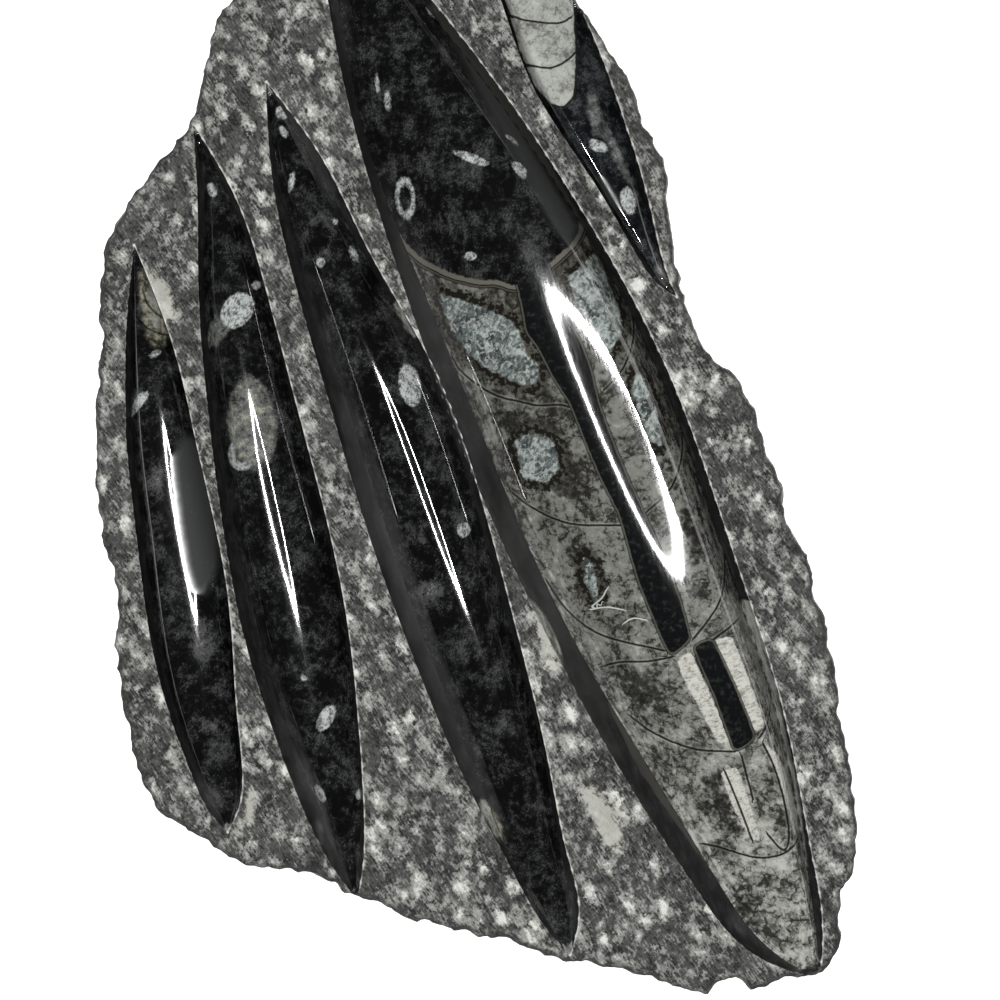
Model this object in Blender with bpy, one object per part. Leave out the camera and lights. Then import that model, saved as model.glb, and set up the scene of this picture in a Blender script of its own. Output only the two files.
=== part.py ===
"""Orthoceras slab: a free-form slab of dark limestone with five spear-shaped orthoceras.

The spears are ground and polished in relief out of the slab itself, each in a shallow trough
that is sunk into the pecked rock around it, so slab and spears are one piece of stone.
Metres, +Z up. The slab lies on its sawn back with the carved face up. The origin is on the back,
in the middle of the slab's box, and the spears' length runs mostly along Y.
"""

import math
from dataclasses import dataclass

import bmesh
import bpy
import numpy as np
from mathutils import Vector, geometry, noise

MM = 0.001

# Slab, in millimetres.
SLAB_THICKNESS = 24.0  # from the sawn back to the pecked face
EDGE_INSET = 1.2  # the pecked edge is knocked off by this much
EDGE_DROP = 1.6
WIDEST_BELOW_FACE = 4.5  # the side bulges a little under its top edge
BACK_INSET = 4.5  # the side leans in towards the back
SIDE_LEVELS = (0.62, 0.42, 0.2)  # heights of the rings between, as shares of the thickness
SIDE_ROUGHNESS = 1.5
SIDE_BREAK_SIZE = 8.0

# Pecked face: low swells with chisel lumps and pits on them.
SWELL_HEIGHT = 0.5
SWELL_SIZE = 45.0
LUMP_HEIGHT = 0.75
LUMP_SIZE = 7.0

# Mesh spacing.
RING_STEP = 4.5
LINE_STEP = 4.5
GRID_STEP = 4.8
CLEAR_OF_LINES = 0.55  # grid points keep this share of a step from every line
TIP_SHARE = 0.02  # the body's own lines stop this share of the chord before each tip
KEEL_LIMIT = 0.9  # how near a keel may come to a foot, as a share of the half width

ROCK_COLOUR = (0.055, 0.054, 0.050, 1.0)
ROCK_ROUGHNESS = 0.6

# Where a spear is measured: shares of the way from its upper tip to its lower tip.
STATIONS = (0.1, 0.2, 0.35, 0.5, 0.65, 0.8, 0.9, 0.97)

# The slab's outline seen from above, anticlockwise from the left shoulder, in millimetres.
# Its bites and corners are where flakes came off as the slab was broken to shape.
OUTLINE = (
    (-62.5, 101), (-66, 95), (-68, 85), (-71, 73), (-77, 64.5), (-84.5, 55.5), (-92.5, 42),
    (-94.5, 28), (-94.5, 15), (-95.5, -2), (-95.5, -19), (-94, -32.5), (-92.5, -38),
    (-90, -48), (-91, -57), (-90, -66), (-89, -74), (-86, -87.5), (-83, -96),
    (-79, -102.5), (-72.5, -107), (-65, -111.5), (-58, -115.5), (-47.5, -117), (-36, -120),
    (-33, -123), (-23.5, -125.5), (-17, -129.5), (-10.5, -130.5), (-0.5, -133.5),
    (7.5, -134.5), (21, -139.5), (29, -140.5), (40, -143), (50, -146), (57.5, -148.5),
    (60.5, -145.5), (65, -144), (67.5, -146), (70.5, -147), (78.5, -144), (85.5, -143.5),
    (89.5, -140), (92, -134), (92, -126), (95, -118), (96, -108.5), (95.5, -98.5),
    (94.5, -90), (92, -79.5), (91, -69), (90, -64), (88, -54), (85, -44), (84, -39),
    (80, -32), (78, -28), (77, -19.5), (73, -11), (70.5, -1), (64.5, 8.5), (58, 14),
    (53.5, 25), (50, 39), (49, 53.5), (48, 60), (45, 67.5), (42, 72), (39, 81), (36, 86),
    (32.5, 91), (29, 97), (25.5, 101.5), (22, 108), (17.5, 116.5), (13, 125.5), (8, 133),
    (2.5, 140.5), (-3.5, 146), (-11, 148.5), (-21, 147), (-31, 145), (-38, 141),
    (-43.5, 133), (-47, 125), (-52, 117), (-57, 109),
)  # fmt: skip


@dataclass(frozen=True)
class Spear:
    """One polished orthoceras in its trough.

    The straight line from the upper to the lower tip is the spear's chord. The four rows give how far
    to the right of the chord, in millimetres, the trough's rims and the body's feet are at STATIONS.
    """

    name: str
    upper_tip: tuple
    lower_tip: tuple
    left_rim: tuple
    left_foot: tuple
    right_foot: tuple
    right_rim: tuple
    groove: float  # depth of the groove at the body's foot, under the pecked face
    crest: float  # height of the body's crest over the pecked face
    keel: float  # the crest's place halfway down, from -1 at the left foot to 1 at the right one
    keel_drift: float  # how much further right that place is at the lower tip than at the upper one
    left_crown: float  # 2 is a round flank, more is a flatter crest and a steeper foot
    right_crown: float
    tip_crown: float  # what both flanks change to at the tips
    peak: float  # share of the chord where the crest is highest
    fullness: float  # how long the crest stays high before it falls to the tips
    ribs: tuple = (0.45, 0.8)  # lines of the mesh, as shares of the way from the keel to the feet


SPEARS = (
    Spear(
        "outer_left",
        upper_tip=(-85.2, 40.0),
        lower_tip=(-61.8, -106.8),
        left_rim=(-4, -7, -10, -11, -11.5, -9.5, -6.5, -3),
        left_foot=(-3.2, -6, -8.8, -9.7, -10.2, -7.9, -4.6, -1.5),
        right_foot=(3, 5.5, 7, 8.4, 8.5, 6.5, 5.4, 2.4),
        right_rim=(3.5, 6, 7.5, 9, 9, 7, 6, 3),
        groove=3.2,
        crest=3.8,
        keel=-0.54,
        keel_drift=-0.42,
        left_crown=1.73,
        right_crown=5.7,
        tip_crown=2.6,
        peak=0.47,
        fullness=1.96,
    ),
    Spear(
        "inner_left",
        upper_tip=(-70.5, 70.2),
        lower_tip=(-29.5, -123.5),
        left_rim=(-3, -7, -11, -13.5, -14, -11, -7.5, -3),
        left_foot=(-1.5, -6, -9, -11, -11, -7.5, -3.5, -1.5),
        right_foot=(5, 8, 9.5, 11, 11, 8, 5, 1.5),
        right_rim=(6.5, 9, 10.5, 12, 12, 9, 6, 2.5),
        groove=3.8,
        crest=4.6,
        keel=-0.12,
        keel_drift=0.0,
        left_crown=3.0,
        right_crown=2.6,
        tip_crown=1.2,
        peak=0.42,
        fullness=1.6,
    ),
    Spear(
        "middle",
        upper_tip=(-52.2, 80.8),
        lower_tip=(23.8, -137.5),
        left_rim=(-6.5, -9.5, -11.5, -13, -12.5, -10, -6.5, -3),
        left_foot=(-5, -6.5, -7.5, -8.5, -8.5, -7, -5.5, -2),
        right_foot=(4.5, 8.5, 14, 14.5, 12.5, 9.5, 6, 3),
        right_rim=(7, 10, 16, 16.5, 14, 10.5, 7.5, 4.5),
        groove=3.8,
        crest=4.8,
        keel=0.07,
        keel_drift=0.8,
        left_crown=2.5,
        right_crown=2.1,
        tip_crown=1.65,
        peak=0.4,
        fullness=1.6,
    ),
    Spear(
        "large_chambered",
        upper_tip=(-40.8, 132.5),
        lower_tip=(86.2, -143.8),
        left_rim=(-9.5, -16.5, -22.5, -26, -26, -22.5, -18, -9.5),
        left_foot=(-7, -14.5, -18, -20, -20.5, -16, -12.5, -6.5),
        right_foot=(9.5, 17, 25, 27, 23, 17.5, 10, 3.5),
        right_rim=(11, 19, 26.5, 29, 25, 19, 11.5, 5),
        groove=5.5,
        crest=9.0,
        keel=0.6,
        keel_drift=0.35,
        left_crown=2.76,
        right_crown=2.16,
        tip_crown=1.2,
        peak=0.6,
        fullness=2.3,
        ribs=(0.25, 0.5, 0.72, 0.88),
    ),
    Spear(
        "upper_right",
        upper_tip=(-4.0, 140.0),
        lower_tip=(50.5, 27.0),
        left_rim=(-2.8, -5.3, -8, -9.6, -7.5, -5.3, -4.4, -2.3),
        left_foot=(-2.4, -4.8, -7.5, -9.1, -7.1, -4.8, -3.3, -1.5),
        right_foot=(3.1, 6.1, 8.8, 8.6, 6.6, 3.6, 0.9, -0.2),
        right_rim=(3.5, 6.6, 9.3, 9.1, 7.1, 4.1, 1.3, 0.1),
        groove=2.6,
        crest=3.6,
        keel=-0.72,
        keel_drift=-0.3,
        left_crown=2.4,
        right_crown=2.4,
        tip_crown=1.7,
        peak=0.57,
        fullness=3.0,
    ),
)


def natural_spline(stations, values):
    """A smooth curve through the values that is zero at both tips, as a function of the share."""
    x = np.array((0.0, *stations, 1.0))
    y = np.array((0.0, *values, 0.0))
    step = np.diff(x)
    count = len(x)
    matrix = np.eye(count)
    right = np.zeros(count)
    for i in range(1, count - 1):
        matrix[i, i - 1 : i + 2] = step[i - 1], 2 * (step[i - 1] + step[i]), step[i]
        right[i] = 6 * ((y[i + 1] - y[i]) / step[i] - (y[i] - y[i - 1]) / step[i - 1])
    bend = np.linalg.solve(matrix, right)

    def at(share):
        i = min(max(int(np.searchsorted(x, share)) - 1, 0), count - 2)
        b = (share - x[i]) / step[i]
        a = 1 - b
        curve = (a**3 - a) * bend[i] + (b**3 - b) * bend[i + 1]
        return a * y[i] + b * y[i + 1] + step[i] ** 2 / 6 * curve

    return at


class Relief:
    """A spear's height over the pecked face, as a function of the place on the slab."""

    def __init__(self, spear):
        self.spear = spear
        self.start = Vector(spear.upper_tip)
        chord = Vector(spear.lower_tip) - self.start
        self.length = chord.length
        self.along = chord.normalized()
        self.right = Vector((-self.along.y, self.along.x))
        rows = (spear.left_rim, spear.left_foot, spear.right_foot, spear.right_rim)
        self.lines = [natural_spline(STATIONS, row) for row in rows]

    def place(self, share, offset):
        """The point a share of the way down the chord and an offset to its right."""
        return self.start + self.along * (share * self.length) + self.right * offset

    def keel(self, share):
        """The offset of the body's highest line."""
        left_foot = self.lines[1](share)
        right_foot = self.lines[2](share)
        out = self.spear.keel + self.spear.keel_drift * (share - 0.5)
        out = min(max(out, -KEEL_LIMIT), KEEL_LIMIT)
        return (left_foot + right_foot) / 2 + out * (right_foot - left_foot) / 2

    def body_line(self, share, out):
        """A line's offset on the body, from -1 at its left foot over 0 at the keel to 1 at its right foot."""
        keel = self.keel(share)
        foot = self.lines[1 if out < 0 else 2](share)
        return keel + abs(out) * (foot - keel)

    def crest(self, share):
        """Height of the body's highest line over the pecked face."""
        peak = self.spear.peak
        from_peak = (peak - share) / peak if share < peak else (share - peak) / (1 - peak)
        return self.spear.crest * (1 - from_peak**self.spear.fullness)

    def height(self, point):
        """Height over the back, and whether it is the body's; None outside the trough."""
        offset = point - self.start
        share = offset.dot(self.along) / self.length
        if not 0 < share < 1:
            return None
        across = offset.dot(self.right)
        left_rim, left_foot, right_foot, right_rim = (line(share) for line in self.lines)
        if not left_rim < across < right_rim:
            return None
        from_middle = abs(2 * share - 1)
        groove = self.spear.groove * (1 - from_middle**4)
        if left_foot < across < right_foot:
            keel = self.keel(share)
            foot, crown = left_foot, self.spear.left_crown
            if across > keel:
                foot, crown = right_foot, self.spear.right_crown
            crown += (self.spear.tip_crown - crown) * from_middle**2
            fall = ((across - keel) / (foot - keel)) ** crown
            return SLAB_THICKNESS - groove + (self.crest(share) + groove) * (1 - fall), True
        if across <= left_foot:
            down = (across - left_rim) / (left_foot - left_rim)
        else:
            down = (right_rim - across) / (right_rim - right_foot)
        down = min(down, 1.0) ** 0.8
        return pecked_face(point) * (1 - down) + (SLAB_THICKNESS - groove) * down, False


def pecked_face(point):
    """Height of the pecked rock over the sawn back."""
    swell = noise.noise(Vector((point.x, point.y, 135.0)) / SWELL_SIZE)
    lump = noise.noise(Vector((point.x, point.y, 56.0)) / LUMP_SIZE)
    return SLAB_THICKNESS + SWELL_HEIGHT * swell + LUMP_HEIGHT * lump


def carved_face(point, reliefs):
    """Height of the carved face over the back: a body where there is one, else the deepest trough."""
    heights = [relief.height(point) for relief in reliefs]
    heights = [found for found in heights if found]
    if not heights:
        return pecked_face(point)
    bodies = [height for height, is_body in heights if is_body]
    if bodies:
        return max(bodies)
    return min(height for height, _ in heights)


def resampled(points, step, closed):
    """Points at an even spacing near step along a line of straight runs."""
    points = [Vector(point) for point in points]
    if closed:
        points.append(points[0])
    reach = [0.0]
    for a, b in zip(points, points[1:]):
        reach.append(reach[-1] + (b - a).length)
    count = max(2, round(reach[-1] / step))
    even = [reach[-1] * i / count for i in range(count + (0 if closed else 1))]
    return [Vector(axis) for axis in zip(*(np.interp(even, reach, [p[k] for p in points]) for k in (0, 1)))]


def smoothed(ring, rounds):
    """The ring with each point drawn halfway to its neighbours' middle."""
    for _ in range(rounds):
        ring = [(ring[i - 1] + ring[i] * 2 + ring[(i + 1) % len(ring)]) / 4 for i in range(len(ring))]
    return ring


def inset(ring, amount):
    """The anticlockwise ring moved inwards."""
    moved = []
    for i, point in enumerate(ring):
        run = (ring[(i + 1) % len(ring)] - ring[i - 1]).normalized()
        moved.append(point + Vector((-run.y, run.x)) * amount)
    return moved


def inside(point, ring):
    """Whether the point is inside the ring."""
    crossings = 0
    for a, b in zip(ring, ring[1:] + ring[:1]):
        if (a.y > point.y) != (b.y > point.y):
            crossings += point.x < a.x + (point.y - a.y) / (b.y - a.y) * (b.x - a.x)
    return crossings % 2 == 1


def relief_lines(relief):
    """The rims, feet, keel and ribs of a spear, as lines that the face's mesh keeps."""
    count = round(relief.length / LINE_STEP)
    shares = [i / count for i in range(count + 1)]
    lines = [[relief.place(share, rim(share)) for share in shares] for rim in relief.lines[::3]]
    ribs = (0.0, *relief.spear.ribs, 1.0)
    for out in {side * rib for rib in ribs for side in (-1, 1)}:
        on_body = [share for share in shares if TIP_SHARE < share < 1 - TIP_SHARE]
        lines.append([relief.place(share, relief.body_line(share, out)) for share in on_body])
    return lines


def face_points(ring, reliefs):
    """The face's points, and the edges along its border and lines, with the border's points first."""
    points = list(ring)
    edges = [(i, (i + 1) % len(ring)) for i in range(len(ring))]
    safe = inset(ring, 1.0)
    for line in (line for relief in reliefs for line in relief_lines(relief)):
        kept = [inside(point, safe) for point in line]
        for i, point in enumerate(line):
            if kept[i]:
                points.append(point)
                if i and kept[i - 1]:
                    edges.append((len(points) - 2, len(points) - 1))
    fixed = np.array(points)
    rows = round(320 / (GRID_STEP * math.sqrt(0.75)))
    for row in range(rows):
        y = -160 + row * GRID_STEP * math.sqrt(0.75)
        for column in range(round(220 / GRID_STEP)):
            point = Vector((-110 + (column + 0.5 * (row % 2)) * GRID_STEP, y))
            clear = np.hypot(*(fixed - point).T).min() > CLEAR_OF_LINES * GRID_STEP
            if clear and inside(point, safe) and not any(relief.height(point) for relief in reliefs):
                points.append(point)
    return points, edges


def side_rings(ring):
    """The rings below the face's border, down to the sawn back."""
    widest = SLAB_THICKNESS - WIDEST_BELOW_FACE
    rings = [[point.to_3d() + Vector((0, 0, widest)) for point in ring]]
    for number, share in enumerate(SIDE_LEVELS, start=1):
        level = inset(smoothed(ring, 2 * number), BACK_INSET * (1 - share) ** 2)
        level = [Vector((point.x, point.y, SLAB_THICKNESS * share)) for point in level]
        rings.append([point + SIDE_ROUGHNESS * noise.noise_vector(point / SIDE_BREAK_SIZE) for point in level])
    rings.append([point.to_3d() for point in inset(smoothed(ring, 8), BACK_INSET)])
    return rings


def build_slab():
    """The whole stone as one closed body."""
    reliefs = [Relief(spear) for spear in SPEARS]
    outline = resampled(OUTLINE, RING_STEP, closed=True)
    border = inset(outline, EDGE_INSET)
    points, edges = face_points(border, reliefs)
    flat, _, faces, *_ = geometry.delaunay_2d_cdt(points, edges, [], 1, 1e-5)

    shape = bmesh.new()
    top = []
    for i, point in enumerate(flat):
        drop = EDGE_DROP if i < len(border) else 0.0
        top.append(shape.verts.new((point.x, point.y, carved_face(point, reliefs) - drop)))
    for face in faces:
        shape.faces.new([top[i] for i in face])
    levels = [top[: len(border)]]
    levels += [[shape.verts.new(point) for point in ring] for ring in side_rings(outline)]
    for upper, lower in zip(levels, levels[1:]):
        for i in range(len(upper)):
            shape.faces.new((upper[i - 1], lower[i - 1], lower[i], upper[i]))
    shape.faces.new(reversed(levels[-1]))
    bmesh.ops.scale(shape, vec=(MM, MM, MM), verts=shape.verts)
    bmesh.ops.triangulate(shape, faces=shape.faces)
    bmesh.ops.recalc_face_normals(shape, faces=shape.faces)

    mesh = bpy.data.meshes.new("orthoceras_slab")
    shape.to_mesh(mesh)
    shape.free()
    slab = bpy.data.objects.new("orthoceras_slab", mesh)
    bpy.context.collection.objects.link(slab)
    return slab


def limestone():
    """Dark fossil limestone, polished on the spears and pecked between them."""
    material = bpy.data.materials.new("dark_limestone")
    material.use_nodes = True
    shader = material.node_tree.nodes["Principled BSDF"]
    shader.inputs["Base Color"].default_value = ROCK_COLOUR
    shader.inputs["Roughness"].default_value = ROCK_ROUGHNESS
    shader.inputs["Metallic"].default_value = 0.0
    return material


def main():
    for old in list(bpy.data.objects):
        bpy.data.objects.remove(old)
    slab = build_slab()
    slab.data.materials.append(limestone())
    slab.data.shade_smooth()
    slab.data.set_sharp_from_angle(angle=math.radians(30))


main()
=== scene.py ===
"""Dressed model of an orthoceras slab.

A free-form slab of dark fossil limestone lies on its sawn back. Five spear-shaped orthoceras are
ground and polished in relief out of the slab itself, each in a shallow trough, and the rock between
them is pecked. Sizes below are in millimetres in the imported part's frame; meshes are in metres.
"""

import logging
import math
from dataclasses import dataclass
from enum import Enum

import bmesh
import bpy
import numpy as np
from mathutils import Matrix, Vector, geometry, kdtree, noise


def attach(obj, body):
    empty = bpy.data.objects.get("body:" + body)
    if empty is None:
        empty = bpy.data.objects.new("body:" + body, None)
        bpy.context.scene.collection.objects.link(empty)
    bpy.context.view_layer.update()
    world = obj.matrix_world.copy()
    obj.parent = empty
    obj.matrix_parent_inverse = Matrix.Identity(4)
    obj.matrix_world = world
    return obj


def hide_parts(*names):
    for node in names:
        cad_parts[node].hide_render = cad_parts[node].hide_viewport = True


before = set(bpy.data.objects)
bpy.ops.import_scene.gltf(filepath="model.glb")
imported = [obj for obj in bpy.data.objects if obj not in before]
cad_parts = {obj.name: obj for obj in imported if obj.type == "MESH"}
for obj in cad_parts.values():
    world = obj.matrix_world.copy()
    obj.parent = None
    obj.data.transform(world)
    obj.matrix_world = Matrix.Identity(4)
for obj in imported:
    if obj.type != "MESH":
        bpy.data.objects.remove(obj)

logging.basicConfig(level=logging.INFO, format="%(levelname)s %(message)s")
LOG = logging.getLogger("orthoceras_slab")

MM = 0.001
STONE = "orthoceras_slab"
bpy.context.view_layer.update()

Point = tuple[float, float]


class Zone(Enum):
    """How each stretch of the stone's surface was worked, in the order of its material slots."""

    PECKED = 0
    GROUND = 1
    BLACK = 2
    CHAMBERED = 3
    PALE = 4
    SAWN = 5


class Mark(Enum):
    """What is drawn on the polished spears, each kept as a distance in millimetres."""

    MUD = "mud"  # the black mud that fills the open living chamber
    SIPHUNCLE = "siphuncle"  # the tube through the chambers
    SEPTUM = "septum"  # the thin walls between chambers
    GEODE = "geode"  # clear crystals grown in a chamber
    STAIN = "stain"  # dark patches in the calcite
    STRIP = "strip"  # white calcite beside the siphuncle
    FLECK = "fleck"  # pale bits of shell in the black rock
    SHADE = "shade"  # duller, greyer patches of the black rock
    POCKET = "pocket"  # a pocket of brown crystal
    CALCITE = "calcite"  # white calcite
    # where the polish is duller (more rough), and where a grey sheen is painted into the colour
    DULL = "dull"  # where the polish is less bright
    SCRATCH = "scratch"  # thin pale scratches


# Shares of the way from a spear's upper tip to its lower one at which it is measured.
STATIONS = (0.1, 0.2, 0.35, 0.5, 0.65, 0.8, 0.9, 0.97)

# The slab's outline seen from above, anticlockwise from the left shoulder.
OUTLINE: tuple[Point, ...] = (
    (-62.5, 101), (-66, 95), (-68, 85), (-71, 73), (-77, 64.5), (-84.5, 55.5), (-92.5, 42),
    (-94.5, 28), (-94.5, 15), (-95.5, -2), (-95.5, -19), (-94, -32.5), (-92.5, -38),
    (-90, -48), (-91, -57), (-90, -66), (-89, -74), (-86, -87.5), (-83, -96),
    (-79, -102.5), (-72.5, -107), (-65, -111.5), (-58, -115.5), (-47.5, -117), (-36, -120),
    (-33, -123), (-23.5, -125.5), (-17, -129.5), (-10.5, -130.5), (-0.5, -133.5),
    (7.5, -134.5), (21, -139.5), (29, -140.5), (40, -143), (50, -146), (57.5, -148.5),
    (60.5, -145.5), (65, -144), (67.5, -146), (70.5, -147), (78.5, -144), (85.5, -143.5),
    (89.5, -140), (92, -134), (92, -126), (95, -118), (96, -108.5), (95.5, -98.5),
    (94.5, -90), (92, -79.5), (91, -69), (90, -64), (88, -54), (85, -44), (84, -39),
    (80, -32), (78, -28), (77, -19.5), (73, -11), (70.5, -1), (64.5, 8.5), (58, 14),
    (53.5, 25), (50, 39), (49, 53.5), (48, 60), (45, 67.5), (42, 72), (39, 81), (36, 86),
    (32.5, 91), (29, 97), (25.5, 101.5), (22, 108), (17.5, 116.5), (13, 125.5), (8, 133),
    (2.5, 140.5), (-3.5, 146), (-11, 148.5), (-21, 147), (-31, 145), (-38, 141),
    (-43.5, 133), (-47, 125), (-52, 117), (-57, 109),
)  # fmt: skip


@dataclass(frozen=True)
class Spear:
    """Sizes of one polished orthoceras in its trough.

    The straight line from the upper to the lower tip is the spear's chord. The four rows give how far
    to the right of the chord the trough's rims and the body's feet are at STATIONS.
    """

    name: str
    zone: Zone
    upper_tip: Point
    lower_tip: Point
    left_rim: tuple[float, ...]
    left_foot: tuple[float, ...]
    right_foot: tuple[float, ...]
    right_rim: tuple[float, ...]
    groove: float  # depth of the groove at the body's foot, under the pecked face
    crest: float  # height of the crest over the pecked face
    keel: float = 0.0  # the crest's place, from -1 at the left foot to 1 at the right one
    keel_drift: float = 0.0  # how much that place moves to the right from tip to tip
    left_crown: float = 2.0  # 2 is a round flank, more is a flatter crest and a steeper foot
    right_crown: float = 2.0
    tip_crown: float = 1.5  # the flanks are flatter facets towards the tips
    peak: float = 0.5  # share of the chord where the crest is highest
    fullness: float = 2.2  # how long the crest stays high below its peak


SPEARS = (
    Spear(
        "outer_left", Zone.BLACK,
        upper_tip=(-85.2, 40.0),
        lower_tip=(-61.8, -106.8),
        left_rim=(-4, -7, -10, -11, -11.5, -9.5, -6.5, -3),
        left_foot=(-3.2, -6, -8.8, -9.7, -10.2, -7.9, -4.6, -1.5),
        right_foot=(3, 5.5, 7, 8.4, 8.5, 6.5, 5.4, 2.4),
        right_rim=(3.5, 6, 7.5, 9, 9, 7, 6, 3),
        groove=3.2, crest=3.8, keel=-0.54, keel_drift=-0.42, left_crown=1.73, right_crown=5.7,
        tip_crown=2.6, peak=0.47, fullness=1.96,
    ),
    Spear(
        "inner_left", Zone.BLACK,
        upper_tip=(-70.5, 70.2),
        lower_tip=(-29.5, -123.5),
        left_rim=(-3, -7, -11, -13.5, -14, -11, -7.5, -3),
        left_foot=(-1.5, -6, -9, -11, -11, -7.5, -3.5, -1.5),
        right_foot=(5, 8, 9.5, 11, 11, 8, 5, 1.5),
        right_rim=(6.5, 9, 10.5, 12, 12, 9, 6, 2.5),
        groove=3.8, crest=4.6, keel=-0.12, left_crown=3.0, right_crown=2.6,
        tip_crown=1.2, peak=0.42, fullness=1.6,
    ),
    Spear(
        "middle", Zone.BLACK,
        upper_tip=(-52.2, 80.8),
        lower_tip=(23.8, -137.5),
        left_rim=(-6.5, -9.5, -11.5, -13, -12.5, -10, -6.5, -3),
        left_foot=(-5, -6.5, -7.5, -8.5, -8.5, -7, -5.5, -2),
        right_foot=(4.5, 8.5, 14, 14.5, 12.5, 9.5, 6, 3),
        right_rim=(7, 10, 16, 16.5, 14, 10.5, 7.5, 4.5),
        groove=3.8, crest=4.8, keel=0.07, keel_drift=0.8, left_crown=2.5, right_crown=2.1,
        tip_crown=1.65, peak=0.4, fullness=1.6,
    ),
    Spear(
        "large_chambered", Zone.CHAMBERED,
        upper_tip=(-40.8, 132.5),
        lower_tip=(86.2, -143.8),
        left_rim=(-9.5, -16.5, -22.5, -26, -26, -22.5, -18, -9.5),
        left_foot=(-7, -14.5, -18, -20, -20.5, -16, -12.5, -6.5),
        right_foot=(9.5, 17, 25, 27, 23, 17.5, 10, 3.5),
        right_rim=(11, 19, 26.5, 29, 25, 19, 11.5, 5),
        groove=5.5, crest=9.0, keel=0.6, keel_drift=0.35, left_crown=2.76, right_crown=2.16,
        tip_crown=1.2, peak=0.6, fullness=2.3,
    ),
    Spear(
        "upper_right", Zone.PALE,
        upper_tip=(-4.0, 140.0),
        lower_tip=(50.5, 27.0),
        left_rim=(-2.8, -5.3, -8, -9.6, -7.5, -5.3, -4.4, -2.3),
        left_foot=(-2.4, -4.8, -7.5, -9.1, -7.1, -4.8, -3.3, -1.5),
        right_foot=(3.1, 6.1, 8.8, 8.6, 6.6, 3.6, 0.9, -0.2),
        right_rim=(3.5, 6.6, 9.3, 9.1, 7.1, 4.1, 1.3, 0.1),
        groove=2.6, crest=3.6, keel=-0.72, keel_drift=-0.3, left_crown=2.4, right_crown=2.4,
        tip_crown=1.7, peak=0.57, fullness=3.0,
    ),
)  # fmt: skip


class Curve:
    """A smooth curve through values at STATIONS that is zero at both tips."""

    def __init__(self, values: tuple[float, ...]) -> None:
        """Solves for a natural cubic spline.

        Args:
            values: the curve's height at each of STATIONS.
        """
        self.x = np.array((0.0, *STATIONS, 1.0))
        self.y = np.array((0.0, *values, 0.0))
        step = np.diff(self.x)
        count = len(self.x)
        matrix = np.eye(count)
        right = np.zeros(count)
        for i in range(1, count - 1):
            matrix[i, i - 1 : i + 2] = step[i - 1], 2 * (step[i - 1] + step[i]), step[i]
            right[i] = 6 * ((self.y[i + 1] - self.y[i]) / step[i] - (self.y[i] - self.y[i - 1]) / step[i - 1])
        self.bend = np.linalg.solve(matrix, right)

    def at(self, share: np.ndarray) -> np.ndarray:
        """The curve's height at shares of the chord.

        Args:
            share: shares of the way from the upper tip.

        Returns:
            The heights, one for each share.
        """
        i = np.clip(np.searchsorted(self.x, share) - 1, 0, len(self.x) - 2)
        step = self.x[i + 1] - self.x[i]
        b = (share - self.x[i]) / step
        a = 1 - b
        curved = (a**3 - a) * self.bend[i] + (b**3 - b) * self.bend[i + 1]
        return a * self.y[i] + b * self.y[i + 1] + step**2 / 6 * curved


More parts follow.
